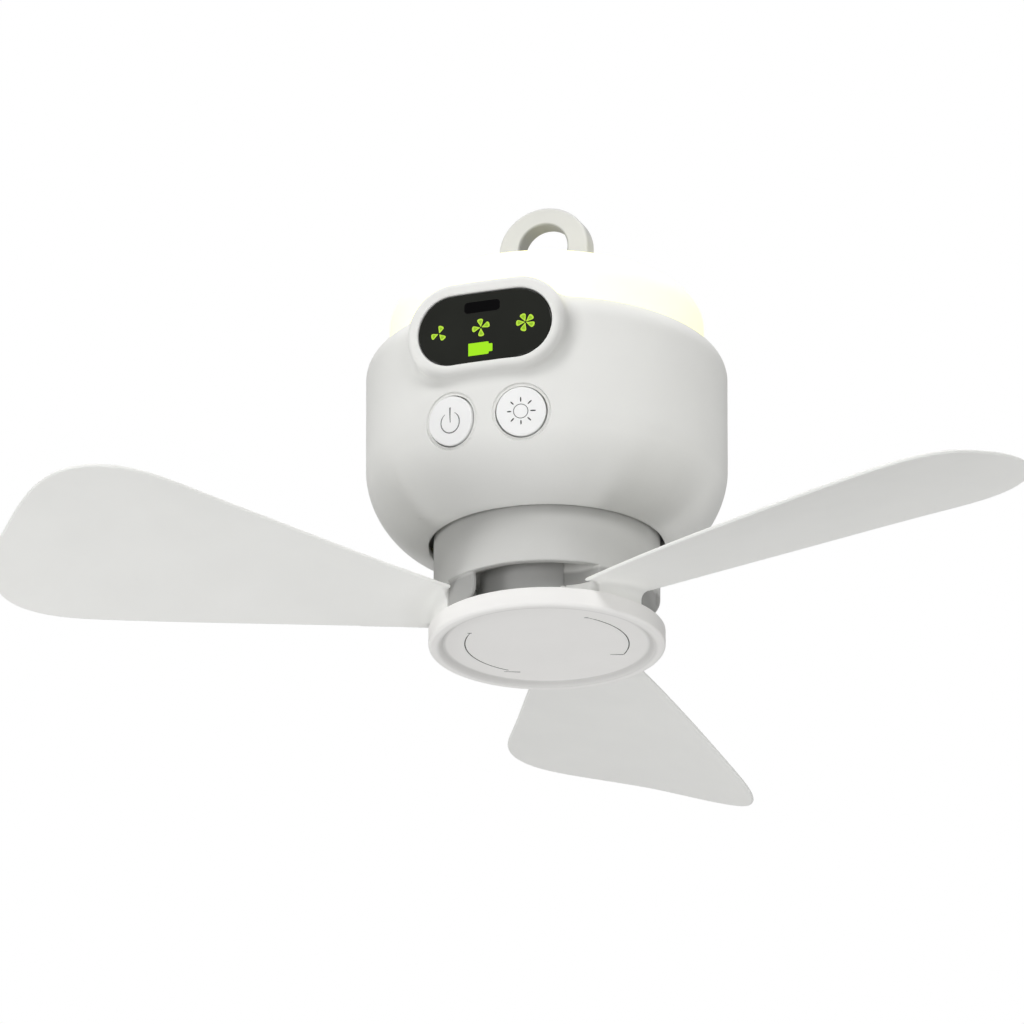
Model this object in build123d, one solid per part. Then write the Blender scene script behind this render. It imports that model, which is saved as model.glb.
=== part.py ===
from build123d import *
import math
import os

os.makedirs("parts", exist_ok=True)

# ---------------------------------------------------------------- driving dimensions (mm)
# All heights are measured from the centre of the hanging eye, +Z up. The control panel faces -Y.
R_BODY = 62.5            # bowl-shaped shell, outer radius
WALL = 2.4               # shell wall
R_OPEN = 40.8            # round opening in the underside
Z_OPEN = -110.4          # plane of that opening
Z_WALL = -82.4           # where the lower curve becomes the straight wall
LOW_A, LOW_B = 1.72, 1.825   # superellipse exponents of the lower curve
SHO_A, SHO_B = 12.4, 10.7    # elliptical shoulder, radial and vertical semi-axes
Z_TOP = -38.0            # top of the shoulder
R_LIP = 54.7             # round opening in the top, the light dome sits in it

R_DOME = 54.4            # light dome
DOME_A, DOME_B = 16.4, 13.0
Z_DOME = -16.4
DOME_T = 1.8
Z_DOME_FOOT = -43.4

EYE_R, EYE_TOP, EYE_HOLE, EYE_T = 16.2, 15.0, 8.8, 7.7   # hanging eye: half width, rise, hole, thickness

LENS_W, LENS_H = 48.5, 25.3   # stadium display lens
BEZEL = 4.6                   # raised border round the lens
Z_LENS = -52.2
Y_BEZEL = -64.6
Y_LENS = -64.0
LENS_T = 1.5

BTN_R, BTN_HOLE, BTN_RECESS = 8.62, 9.1, 10.1
BTN_AZ = {"power": 257.5, "light": 281.6}
BTN_TILT = 6.0
Z_BTN = -84.1

R_DRUM, DRUM_T = 39.1, 2.4    # turning drum under the shell
Z_DRUM_TOP = -103.5
Z_DRUM_EDGE = -130.2
Z_EAR = -140.4
R_CAP = 40.9
Z_CAP_TOP, Z_CAP_BOT = -140.7, -147.4

BLADE_AZ = (102.57, 222.57, 342.57)
BLADE_T = 1.3
K = 0.345                     # blade curves below are in units of this many mm


# ---------------------------------------------------------------- helpers
def body(r, z0, z1, cx=0.0, cy=0.0):
    """Cylinder between two heights."""
    return Pos(cx, cy, (z0 + z1) / 2) * Cylinder(r, z1 - z0)


def tube(ro, ri, z0, z1, cx=0.0, cy=0.0):
    return body(ro, z0, z1, cx, cy) - body(ri, z0 - 1, z1 + 1, cx, cy)


def box(x0, x1, y0, y1, z0, z1):
    return Pos((x0 + x1) / 2, (y0 + y1) / 2, (z0 + z1) / 2) * Box(x1 - x0, y1 - y0, z1 - z0)


def polar(r, az):
    return r * math.cos(math.radians(az)), r * math.sin(math.radians(az))


def spin(points):
    """Solid of revolution about Z from a closed (r, z) polygon or curve set."""
    return revolve(points, axis=Axis.Z)


def ring_of(shape, azimuths):
    return [Rot(0, 0, a) * shape for a in azimuths]


def one(shape):
    """The single solid in a result."""
    s = shape.solids()
    assert len(s) == 1, len(s)
    return s[0]


def save(shape, name):
    if isinstance(shape, (list, tuple)):
        shape = Compound(children=[s if isinstance(s, Solid) else one(s) for s in shape])
    else:
        shape = one(shape)
    export_step(shape, "parts/" + name + ".step")


def facing(az, tilt, r, z):
    """Plane on the shell with its normal pointing outwards, X to the right and Y up."""
    a, t = math.radians(az), math.radians(tilt)
    n = (math.cos(a) * math.cos(t), math.sin(a) * math.cos(t), -math.sin(t))
    return Plane(origin=(r * math.cos(a), r * math.sin(a), z),
                 x_dir=(-math.sin(a), math.cos(a), 0), z_dir=n)


def lower_curve(r0, z0, r1, z1, n=14):
    out = []
    for i in range(n + 1):
        t = math.pi / 2 * i / n
        out.append((r0 + (r1 - r0) * math.sin(t) ** (2 / LOW_A),
                    z0 + (z1 - z0) * (1 - math.cos(t) ** (2 / LOW_B))))
    return out


def bowl(off, z_low, z_high):
    """Filled bowl: the outer surface moved outwards by off, from the axis out."""
    lo = lower_curve(R_OPEN, z_low, R_BODY + off, Z_WALL)
    n = len(lo) - 1
    pl = Plane.XZ
    a = Spline(*[(r, z) for r, z in lo], tangents=[(1, 0), (0, 1)])
    zs = z_high - (SHO_B + off)
    b = Line((R_BODY + off, Z_WALL), (R_BODY + off, zs))
    c = EllipticalCenterArc((R_BODY - SHO_A, zs), SHO_A + off, SHO_B + off, 0, arc_size=90)
    d = Polyline((R_BODY - SHO_A, z_high), (0, z_high), (0, z_low), (R_OPEN, z_low))
    return revolve(pl * make_face(Wire([a.edge(), b.edge(), c.edge()] + d.edges())), axis=Axis.Z)


def screw(r_shaft, r_head, h_head, length, cx, cy, z_seat, up=True):
    """Pan-head screw. up=True: the head is above the seat and the shank goes down."""
    s = 1 if up else -1
    head = body(r_head, min(z_seat, z_seat + s * h_head), max(z_seat, z_seat + s * h_head), cx, cy)
    shank = body(r_shaft, min(z_seat, z_seat - s * length), max(z_seat, z_seat - s * length), cx, cy)
    d = h_head * 0.55
    zt = z_seat + s * h_head
    w, l = r_head * 0.30, r_head * 1.25
    zc = zt - s * d / 2
    cross = Pos(cx, cy, zc) * Box(w, l, d + 0.001) + Pos(cx, cy, zc) * Box(l, w, d + 0.001)
    return head + shank - cross


def stadium(w, h, y0, y1, zc):
    """Stadium prism along Y, between y0 and y1 (y0 < y1)."""
    sk = Plane(origin=(0, y1, zc), x_dir=(1, 0, 0), z_dir=(0, -1, 0)) * SlotOverall(w, h)
    return extrude(sk, amount=y1 - y0)


# ---------------------------------------------------------------- shell
outer = bowl(0.0, Z_OPEN, Z_TOP)
inner = bowl(-WALL, Z_OPEN + WALL, Z_TOP - WALL)
proud = bowl(0.45, Z_OPEN - 0.45, Z_TOP + 0.45)
sunk = bowl(-0.55, Z_OPEN + 0.55, Z_TOP - 0.55)

boss = stadium(LENS_W + 2 * BEZEL, LENS_H + 2 * BEZEL, Y_BEZEL, -40.0, Z_LENS)
boss = fillet(boss.faces().sort_by(Axis.Y)[0].edges(), 2.9)
boss = boss - body(55.3, -80, -20)
boss_skin = boss - inner

shell = (outer - inner) + boss_skin
shell = shell - body(R_LIP, -60, -20) - body(R_OPEN, -120, -100)
# display seat: lens recess, window and the hollow behind it
shell = shell - stadium(LENS_W + 0.5, LENS_H + 0.5, Y_BEZEL - 2, -62.5, Z_LENS)
shell = shell - stadium(44.0, 21.6, -63.0, -58.0, Z_LENS)
hollow = stadium(50.4, 27.8, -61.0, -48.0, Z_LENS)
hollow = hollow - (body(57.4, -46.5, -20))
shell = shell - hollow
# buttons: shallow seat and through hole
PL = {}
for nm, az in BTN_AZ.items():
    PL[nm] = facing(az, BTN_TILT, 62.42, Z_BTN)
    seat = PL[nm] * (Pos(0, 0, 2) * Cylinder(BTN_RECESS, 8))
    shell = shell - (seat - sunk)
    shell = shell - PL[nm] * (Pos(0, 0, -2) * Cylinder(BTN_HOLE, 12))
# charging port, rear
port_cut = Plane(origin=(0, 66, -62.6), x_dir=(-1, 0, 0), z_dir=(0, 1, 0)) * SlotOverall(11.6, 6.0)
shell = shell - extrude(port_cut, amount=-9)
# floor bosses for the motor mount, long posts for the light base, posts for the switch board
POST_AZ = (15, 165, 195, 345)
MOUNT_AZ = (45, 135, 225, 315)
R_MOUNT_SCREW = 47.0
R_POST = 49.5
for az in MOUNT_AZ:
    x, y = polar(R_MOUNT_SCREW, az)
    shell = shell + (body(3.6, -108.5, -101.0, x, y) - (body(70, -130, -100) - outer))
    shell = shell - body(1.5, -107.6, -100, x, y)
for az in POST_AZ:
    x, y = polar(R_POST, az)
    post = body(3.8, -90.0, -46.0, x, y)
    ca, sa = math.cos(math.radians(az)), math.sin(math.radians(az))
    rib = Rot(0, 0, az) * box(R_POST, 61.5, -1.2, 1.2, -90.0, -50.5)
    foot = Rot(0, 0, az) * (Pos(R_POST + 5.7, 0, -90.0) * Box(11.6, 2.4, 14))
    shell = shell + ((post + rib) & outer)
    shell = shell - body(1.4, -62.0, -45.0, x, y)
for nm, side in (("power", -1), ("light", 1)):
    p = PL[nm] * (Pos(side * 13.6, 0, -7.9) * Cylinder(2.0, 9.8))
    shell = shell + (p & outer)
    shell = shell - PL[nm] * (Pos(side * 13.6, 0, -10.3) * Cylinder(0.9, 5.4))
save(shell, "body_shell")

# ---------------------------------------------------------------- display
lens = stadium(LENS_W, LENS_H, Y_LENS, Y_LENS + LENS_T, Z_LENS)
lens = chamfer(lens.faces().sort_by(Axis.Y)[0].edges(), 0.25)
save(lens, "display_lens")

module = stadium(43.2, 20.8, -62.4, -59.4, Z_LENS)
module = module - box(-6.2, 6.2, -63, -59, Z_LENS + 5.4, Z_LENS + 10.6)
save(module, "display_light_block")
save(box(-5.2, 5.2, -61.8, -59.4, Z_LENS + 6.2, Z_LENS + 9.6), "ir_receiver")
save(stadium(48.4, 25.2, -59.4, -58.2, Z_LENS), "display_board")

# ---------------------------------------------------------------- buttons and their switches
def along(pl, r, s0, s1, x=0.0, y=0.0):
    """Cylinder in a button's frame between two depths, s counted inwards."""
    return pl * (Pos(x, y, -(s0 + s1) / 2) * Cylinder(r, s1 - s0))


switches, boards = [], None
for nm, side in (("power", -1), ("light", 1)):
    pl = PL[nm]
    btn = along(pl, BTN_R, -4.0, 6.4) & proud
    btn = btn + along(pl, 10.0, 5.2, 6.4)
    btn = btn - along(pl, 7.2, 2.4, 6.6) + along(pl, 2.2, 2.2, 8.0)
    save(btn, nm + "_button")
    plunger = along(pl, 1.7, 8.0, 10.6)
    save(plunger, nm + "_switch_plunger")
    sw = pl * (Pos(0, 0, -(9.4 + 12.8) / 2) * Box(6.2, 6.2, 3.4)) - along(pl, 1.8, 9.0, 11.9)
    switches.append(sw)
    bd = pl * (Pos(side * 2.5, 0, -13.4) * Box(27.6, 15.0, 1.2))
    bd = bd - along(pl, 1.1, 12, 15, side * 13.6)
    boards = bd if boards is None else boards + bd
save(boards, "button_board")
save(switches, "tact_switches")
bscrews = []
for nm, side in (("power", -1), ("light", 1)):
    pl = PL[nm]
    s = along(pl, 0.9, 8.4, 14.0, side * 13.6) + along(pl, 1.9, 14.0, 15.3, side * 13.6)
    s = s - pl * (Pos(side * 13.6, 0, -15.1) * Box(0.5, 2.6, 0.9))
    bscrews.append(s)
save(bscrews, "button_board_screws")

# ---------------------------------------------------------------- light: base, board, chips, dome
base = body(54.2, -46.0, -43.6) - body(2.3, -50, -40)
base = base + tube(7.0, 2.3, -43.7, Z_DOME - DOME_T)
for az in POST_AZ:
    x, y = polar(R_POST, az)
    base = base - body(1.7, -50, -40, x, y)
for az in (30, 150, 270):
    base = base - Rot(0, 0, az) * body(2.0, -50, -40, 18.0)
base = base - body(1.8, -50, -40, 0, -34.0)
save(base, "light_base")

ledb = tube(45.5, 12.0, -43.6, -42.0)
for az in (30, 150, 270):
    ledb = ledb - Rot(0, 0, az) * body(2.0, -50, -40, 18.0)
save(ledb, "led_board")
chips = []
for i in range(12):
    chips.append(Rot(0, 0, 30 * i + 15) * box(24.6, 27.4, -1.75, 1.75, -42.0, -41.3))
for i in range(20):
    chips.append(Rot(0, 0, 18 * i) * box(38.6, 41.4, -1.75, 1.75, -42.0, -41.3))
save(chips, "led_chips")


def dome_solid(r, a, b, z_top, z_foot):
    e = EllipticalCenterArc((r - a, z_top - b), a, b, 0, arc_size=90)
    ln = Line((r, z_foot), (r, z_top - b))
    d = Polyline((r - a, z_top), (0, z_top), (0, z_foot), (r, z_foot))
    return revolve(Plane.XZ * make_face(Wire([ln.edge(), e.edge()] + d.edges())), axis=Axis.Z)


dome = dome_solid(R_DOME, DOME_A, DOME_B, Z_DOME, Z_DOME_FOOT)
dome = dome - dome_solid(R_DOME - DOME_T, DOME_A - DOME_T, DOME_B - DOME_T, Z_DOME - DOME_T, Z_DOME_FOOT - 3)
dome = dome - body(4.6, -22, -10)
save(dome, "light_dome")

# hanging eye: pad, legs and arch in one moulding with a spigot through the dome
pl_eye = Plane(origin=(0, EYE_T / 2, 0), x_dir=(1, 0, 0), z_dir=(0, -1, 0))
prof = pl_eye * (Ellipse(EYE_R, EYE_TOP) + Pos(0, -8.2) * Rectangle(2 * EYE_R, 16.4))
eye = extrude(prof, amount=EYE_T)
eye = eye - extrude(pl_eye * Circle(EYE_HOLE), amount=EYE_T)
rim = [e for e in eye.edges() if abs(abs(e.center().Y) - EYE_T / 2) < 0.01 and e.center().Z > -16.3]
eye = fillet(rim, 0.9)
pad = body(18.6, Z_DOME, Z_DOME + 2.2)
pad = fillet(pad.faces().sort_by(Axis.Z)[-1].edges(), 1.2)
eye = eye + pad + body(4.4, Z_DOME - DOME_T, Z_DOME + 0.5)
eye = eye - body(2.0, -20, -11.0)
save(eye, "hanging_eye")
save(screw(2.0, 3.8, 2.6, 34.6, 0, 0, -46.0, up=False), "eye_screw")
save([screw(1.4, 2.9, 1.8, 11.0, *polar(R_POST, az), -43.6) for az in POST_AZ], "light_base_screws")

# ---------------------------------------------------------------- battery pack
CELL_R, CELL_L = 9.2, 65.0
Z_CELL = -83.3
CELL_Y = [(-1.5 + i) * 18.7 for i in range(4)]
cells, tabs = [], []
for y in CELL_Y:
    c = Pos(0, y, Z_CELL) * (Rot(0, 90, 0) * Cylinder(CELL_R, CELL_L))
    c = fillet(c.edges(), 0.7)
    cells.append(c)
save(cells, "battery_cells")
for sx in (-1, 1):
    xs = sx * (CELL_L / 2)
    t = box(min(xs, xs + sx * 0.3), max(xs, xs + sx * 0.3), -31.0, 31.0, Z_CELL - 3, Z_CELL + 3)
    tabs.append(t)
save(tabs, "cell_tabs")
tray = box(-35.6, 35.6, -39.2, 39.2, -94.6, -86.0)
tray = tray - box(-33.2, 33.2, -37.5, 37.5, -83.0, -80.0)
for y in CELL_Y:
    tray = tray - Pos(0, y, Z_CELL) * (Rot(0, 90, 0) * Cylinder(CELL_R + 0.15, 66.4))
tray = tray - box(-33.2, 33.2, -31.2, 31.2, -87.5, -85.0)
PILLARS = [(sx * 38.6, sy * 18.0) for sx in (-1, 1) for sy in (-1, 1)]
for x, y in PILLARS:
    tray = tray + body(3.2, -98.5, -74.0, x, y)
for x, y in PILLARS:
    tray = tray - body(1.2, -90.0, -73.0, x, y) - body(1.2, -99.0, -91.5, x, y)
for x, y in ((0, 0), (24, 0), (-24, 0)):
    tray = tray - body(5.0, -96, -85, x, y)
save(tray, "battery_tray")
cover = box(-42.0, 42.0, -38.4, 38.4, -74.0, -72.2) - box(-12, 12, -24, 24, -75, -70)
cover = cover & body(49, -80, -60)
for sx in (-1, 1):
    cover = cover - box(min(sx * 36.6, sx * 44), max(sx * 36.6, sx * 44), -4, 4, -75, -70)
COLS = [(sx * 27.0, sy * 27.0) for sx in (-1, 1) for sy in (-1, 1)]
for x, y in COLS:
    cover = cover + body(2.8, -72.3, -67.0, x, y)
    cover = cover - body(1.1, -71.0, -66.0, x, y)
for x, y in PILLARS:
    cover = cover - body(1.4, -75, -70, x, y)
save(cover, "battery_cover")
save([screw(1.2, 2.5, 1.6, 9.0, x, y, -72.2) for x, y in PILLARS], "battery_cover_screws")

# ---------------------------------------------------------------- electronics
pcb = body(42.0, -67.0, -65.4) + box(-8.5, 8.5, 30.0, 54.5, -67.0, -65.4)
for sx in (-1, 1):
    pcb = pcb - box(min(sx * 37.2, sx * 43), max(sx * 37.2, sx * 43), -3, 3, -70, -60)
for x, y in COLS:
    pcb = pcb - body(1.4, -70, -60, x, y)
save(pcb, "main_board")
save([screw(1.1, 2.3, 1.5, 5.0, x, y, -65.4) for x, y in COLS], "main_board_screws")
comps = [box(-5, 5, -6, 4, -65.4, -64.0),                       # controller
         box(12, 18.6, 4, 10.6, -65.4, -61.6), box(12, 18.6, 13, 19.6, -65.4, -61.6),   # inductors
         box(-20, -15, 8, 14, -65.4, -63.6), box(-20, -15, -2, 4, -65.4, -63.6),        # power switches
         box(-33, -24, -4, 4, -65.4, -59.8), box(24, 33, -4, 4, -65.4, -59.8),          # plugs
         box(-6, 6, -37, -31.5, -65.4, -60.4),
         body(3.1, -65.4, -57.6, -10, 22), body(3.1, -65.4, -57.6, 4, 24)]               # capacitors
comps.append(box(12.0, 20.0, 30.0, 35.5, -65.4, -60.4))
save(comps, "board_components")


def wire(r, pts, radii):
    """Round lead along straight runs joined by tangent arcs."""
    path = FilletPolyline(*pts, radius=radii)
    p0, d0 = Vector(*pts[0]), (Vector(*pts[1]) - Vector(*pts[0])).normalized()
    sec = Plane(origin=p0, z_dir=d0) * Circle(r)
    return sweep(sec, path=path)


motor_lead = wire(1.5, [(0, 20, -104.5), (0, 20, -96.6), (16, 47, -96.6), (16, 47, -62.9), (16, 35.5, -62.9)], 3.2)
save(motor_lead, "motor_lead")
save([wire(1.1, [(sx * 32.8, 0, -83.3), (sx * 39.2, 0, -83.3), (sx * 39.2, 0, -62.5), (sx * 33.0, 0, -62.5)], 3.0)
      for sx in (-1, 1)], "battery_leads")
save(body(1.2, -60.4, -43.6, 0, -34.0), "light_lead")
ribbon = box(-7, 7, -57.9, -40.0, -65.4, -65.15) + box(-7, 7, -58.2, -57.9, -65.4, -57.0)
save(ribbon, "display_ribbon")
# charging socket: folded steel shell with a tongue
sock = extrude(Plane(origin=(0, 60.9, -63.7), x_dir=(-1, 0, 0), z_dir=(0, 1, 0)) * SlotOverall(8.94, 3.26), amount=-7.6)
sock = sock - extrude(Plane(origin=(0, 61.0, -63.7), x_dir=(-1, 0, 0), z_dir=(0, 1, 0)) * SlotOverall(8.34, 2.56), amount=-6.4)
sock = sock + box(-3.2, 3.2, 53.9, 60.0, -64.05, -63.35)
sock = Pos(0, 0, 0) * sock
save(sock, "charging_socket")

# ---------------------------------------------------------------- motor, fixed side
mount = body(51.0, -101.0, -98.5) + body(7.5, -122.6, -98.6)
mount = mount - body(5.5, -102.6, -90) - body(4.6, -130, -90) - body(5.5, -130, -118.4)
for az in MOUNT_AZ:
    x, y = polar(R_MOUNT_SCREW, az)
    mount = mount - body(1.8, -110, -90, x, y)
for x, y in PILLARS:
    mount = mount - body(1.4, -110, -90, x, y)
for az in POST_AZ:
    mount = mount - body(4.4, -110, -90, *polar(R_POST, az))
for az in (0, 120, 240):
    mount = mount - body(4.0, -110, -90, *polar(20.0, az + 90))
save(mount, "motor_mount")
save([screw(1.5, 3.1, 2.0, 8.0, *polar(R_MOUNT_SCREW, az), -98.5) for az in MOUNT_AZ], "motor_mount_screws")
save([screw(1.2, 2.4, 1.5, 8.0, x, y, -101.0, up=False) for x, y in PILLARS], "tray_screws")


def bearing(z0, z1):
    b = tube(5.5, 2.52, z0, z1)
    g = tube(4.7, 3.4, z0 - 1, z0 + 0.35) + tube(4.7, 3.4, z1 - 0.35, z1 + 1)
    return b - g


save(bearing(-102.6, -98.6), "bearing_upper")
save(bearing(-122.4, -118.4), "bearing_lower")
Z_ST0, Z_ST1 = -117.4, -109.4
NT = 9
core = tube(11.5, 7.5, Z_ST0, Z_ST1)
for i in range(NT):
    a = 360 / NT * i
    core = core + Rot(0, 0, a) * box(10.5, 22.4, -1.7, 1.7, Z_ST0, Z_ST1)
tips = tube(24.0, 21.8, Z_ST0, Z_ST1)
for i in range(NT):
    tips = tips - Rot(0, 0, 360 / NT * (i + 0.5)) * box(15, 30, -1.1, 1.1, Z_ST0 - 1, Z_ST1 + 1)
core = core + tips
save(core, "stator_core")
coils = []
for i in range(NT):
    c = box(12.2, 21.2, -3.5, 3.5, Z_ST0 - 1.9, Z_ST1 + 1.9) - box(12.0, 21.4, -1.75, 1.75, Z_ST0 - 0.05, Z_ST1 + 0.05)
    taper = Rot(0, 0, 360 / NT * 0.5) * box(0, 40, -0.45, 30, -130, -90) + Rot(0, 0, -360 / NT * 0.5) * box(0, 40, -30, 0.45, -130, -90)
    c = c - taper
    coils.append(Rot(0, 0, 360 / NT * i) * one(c))
save(coils, "motor_windings")

# ---------------------------------------------------------------- rotor
shaft = body(2.5, -126.6, -96.3) - tube(3.0, 2.3, -98.3, -97.5)
shaft = chamfer(shaft.faces().sort_by(Axis.Z)[-1].edges(), 0.3)
save(shaft, "motor_shaft")
clip = tube(4.3, 2.3, -98.3, -97.5) - box(-0.9, 0.9, 0, 6, -99, -97)
save(clip, "shaft_circlip")
can = body(29.0, -124.4, -106.0) - body(27.4, -122.9, -100) - body(2.5, -130, -100)
SCREW_R = 18.0
for az in (60, 180, 300):
    can = can - body(1.5, -130, -100, *polar(SCREW_R, az))
save(can, "rotor_can")
mags = []
NM = 12
for i in range(NM):
    m = tube(27.4, 24.7, -121.0, -107.0)
    w = extrude(Plane.XY.offset(-130) * make_face(Polyline((0, 0), polar(60, -14.2), polar(60, 14.2), (0, 0))), amount=30)
    mags.append(Rot(0, 0, 360 / NM * i) * one(m & w))
save(mags, "rotor_magnets")

# blade geometry: reference line, pitch, camber and plan outline in K units
def blade_pt(r, u, lift=0.0):
    """r along the blade, u across it (positive on the leading side), both in K units; returns mm."""
    b = math.radians(2.0 + 19.3 * (r / 500) - 9.1 * (r / 500) ** 2)
    w = -0.000642 * u * u + lift
    x = r
    y = -2.3 + u * math.cos(b) - w * math.sin(b)
    z = -61.0 + 0.064 * r + 7.8e-6 * r * r + u * math.sin(b) + w * math.cos(b) - 333.5
    return (x * K, y * K, z * K)


LEAD = [(70, 13.2), (190, 38.7), (310, 66.6), (420, 92.9)]
TIP = [(80, 104.6), (60, 116.0), (40, 122.2), (20, 117.7), (0, 114.5), (-20, 120.8), (-40, 142.9), (-60, 163.1), (-80, 156.0)]
TRAIL = [(420, -144.5), (310, -118.2), (190, -87.2), (70, -54.0)]
plan = LEAD + [(450 + t * math.cos(math.radians(a)), t * math.sin(math.radians(a))) for a, t in TIP] + TRAIL

# slot plane over the blade root, in the blade's own frame: top of the root block
def slot_top(y):
    return -132.35 + (y - 8.0) * 0.118


NECK0, NECK1 = -16.5, 3.0    # root block across the blade, set towards its trailing side
HEAD0, HEAD1 = -18.8, 5.2     # wider head that keeps it from pulling out


def prism_x(pts, x0, x1):
    """Prism along X from a (y, z) polygon."""
    sk = Plane(origin=(x0, 0, 0), x_dir=(0, 1, 0), z_dir=(1, 0, 0)) * make_face(Polyline(*pts, close=True))
    return extrude(sk, amount=x1 - x0)


def root_shape(g, z_low, x_out):
    """Root block, grown by g all round."""
    neck = prism_x([(NECK0 - g, z_low), (NECK1 + g, z_low), (NECK1 + g, slot_top(NECK1) + g),
                    (NECK0 - g, slot_top(NECK0) + g)], 18.0, x_out)
    head = prism_x([(HEAD0 - g, z_low), (HEAD1 + g, z_low), (HEAD1 + g, -133.4 + g),
                    (HEAD0 - g, -133.4 + g)], 16.0 - g, 20.0 + g)
    return neck + head


rows = []
for r in (60, 100, 150, 200, 250, 300, 350, 400, 450, 500, 550, 590):
    rows.append([Vector(*blade_pt(r, u, -BLADE_T / K / 2)) for u in (-185, -155, -125, -95, -65, -35, 0, 35, 65, 95, 135)])
skin = Face.make_surface_from_array_of_points(rows)
sheet = Solid.thicken(skin, BLADE_T, normal_override=(0, 0, 1))
xy = [blade_pt(r, u)[:2] for r, u in plan]
outline = make_face(Wire([Spline(*xy).edge(), Line(xy[-1], xy[0]).edge()]))
knife = extrude(Plane.XY.offset(-165) * outline, amount=60)
sheet = one(sheet & knife)
sheet = one(sheet - body(39.45, -170, -90))
root = root_shape(0.0, -140.1, 44.0) & body(38.9, -170, -90)
strip = prism_x([(NECK0, slot_top(NECK0) - 1.6), (NECK1, slot_top(NECK1) - 1.6), (NECK1, slot_top(NECK1)),
                 (NECK0, slot_top(NECK0))], 30.0, 44.0) & body(41.0, -170, -90)
blade = one(sheet + root + strip)
for i, az in enumerate(BLADE_AZ):
    save(Rot(0, 0, az) * blade, "blade_%d" % (i + 1))
print("blade volume", round(blade.volume, 1), "tip", round(blade.bounding_box().max.X, 1))

# ---------------------------------------------------------------- drum, hub and cap
R_HUB = 29.0
Y_ARM0, Y_ARM1, Y_EAR = -16.7, 4.5, 16.5
drum = body(R_DRUM, Z_EAR, Z_DRUM_TOP) - body(R_DRUM - DRUM_T, -124.4, -90)
drum = drum - body(6.0, -130, -120)
for az in (60, 180, 300):
    drum = drum - body(1.7, -130, -120, *polar(SCREW_R, az))
# arm over each blade root, flush with the wall, and a thin curved ear beside it
arm = prism_x([(Y_ARM0, slot_top(Y_ARM0) + 0.05), (Y_ARM1, slot_top(Y_ARM1) + 0.05), (Y_ARM1, -118.0), (Y_ARM0, -118.0)], 22.0, 44.0)
ear = [(3.6, -118.0), (3.6, Z_EAR)]
for i in range(7):
    t = math.radians(15 * i)
    ear.append((Y_EAR - 4.5 + 4.5 * math.sin(t), Z_EAR + 4.5 - 4.5 * math.cos(t)))
ear.append((Y_EAR, -118.0))
ear = prism_x(ear, 28.0, 44.0) & tube(38.4, 36.9, -150.0, -110.0)
void = body(60.0, -150.0, Z_DRUM_EDGE) + body(R_DRUM - DRUM_T, -150.0, -126.8)
for az in BLADE_AZ:
    void = void - Rot(0, 0, az) * (arm - body(R_HUB + 0.1, -170, -100)) - Rot(0, 0, az) * ear
drum = drum - void
save(drum, "rotor_drum")

hub = body(R_HUB, -140.3, -126.8) - body(9.9, -150, -128.6)
for az in BLADE_AZ:
    hub = hub - Rot(0, 0, az) * root_shape(0.3, -150.0, 50.0)
for az in (60, 180, 300):
    hub = hub - body(1.7, -130.4, -120, *polar(SCREW_R, az)) 
# bayonet: entry slots and tracks for the cap's three tabs
TRACK_AZ = (42.57, 162.57, 282.57)
fan = extrude(Plane.XY.offset(-150) * make_face(Polyline((0, 0), polar(40, -13.5), polar(40, 13.5), (0, 0))), amount=30)
trk = extrude(Plane.XY.offset(-150) * make_face(Polyline((0, 0), polar(40, -13.5), polar(44, 15), polar(40, 49.5), (0, 0))), amount=30)
for az in TRACK_AZ:
    entry = body(12.6, -141, -132.9) & (Rot(0, 0, az + 36) * fan)
    track = body(12.6, -135.9, -132.9) & (Rot(0, 0, az) * trk)
    hub = hub - entry - track
save(hub, "blade_hub")
save([screw(1.5, 2.8, 1.6, 5.4, *polar(SCREW_R, az), -122.9) for az in (60, 180, 300)], "rotor_screws")

cap = body(R_CAP, Z_CAP_BOT, Z_CAP_TOP)
cap = fillet(cap.faces().sort_by(Axis.Z)[0].edges(), 2.2)
cap = fillet(cap.faces().sort_by(Axis.Z)[-1].edges(), 0.6)
dish = body(35.5, Z_CAP_BOT - 2, Z_CAP_BOT + 1.2)
cap = cap - dish
cap = cap - tube(38.2, 13.2, -144.2, Z_CAP_TOP + 1)
collar = tube(9.5, 6.5, -144.3, -132.4)
cap = cap + collar
fan2 = extrude(Plane.XY.offset(-150) * make_face(Polyline((0, 0), polar(40, -11.5), polar(40, 11.5), (0, 0))), amount=30)
for az in TRACK_AZ:
    cap = cap + ((tube(12.2, 9.2, -135.6, -133.2)) & (Rot(0, 0, az) * fan2))
cap = cap - body(6.5, -143.9, -130)
save(cap, "lock_cap")
print("done")
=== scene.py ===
import bpy
import math
import numpy as np
from mathutils import Vector, Matrix, geometry


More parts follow.
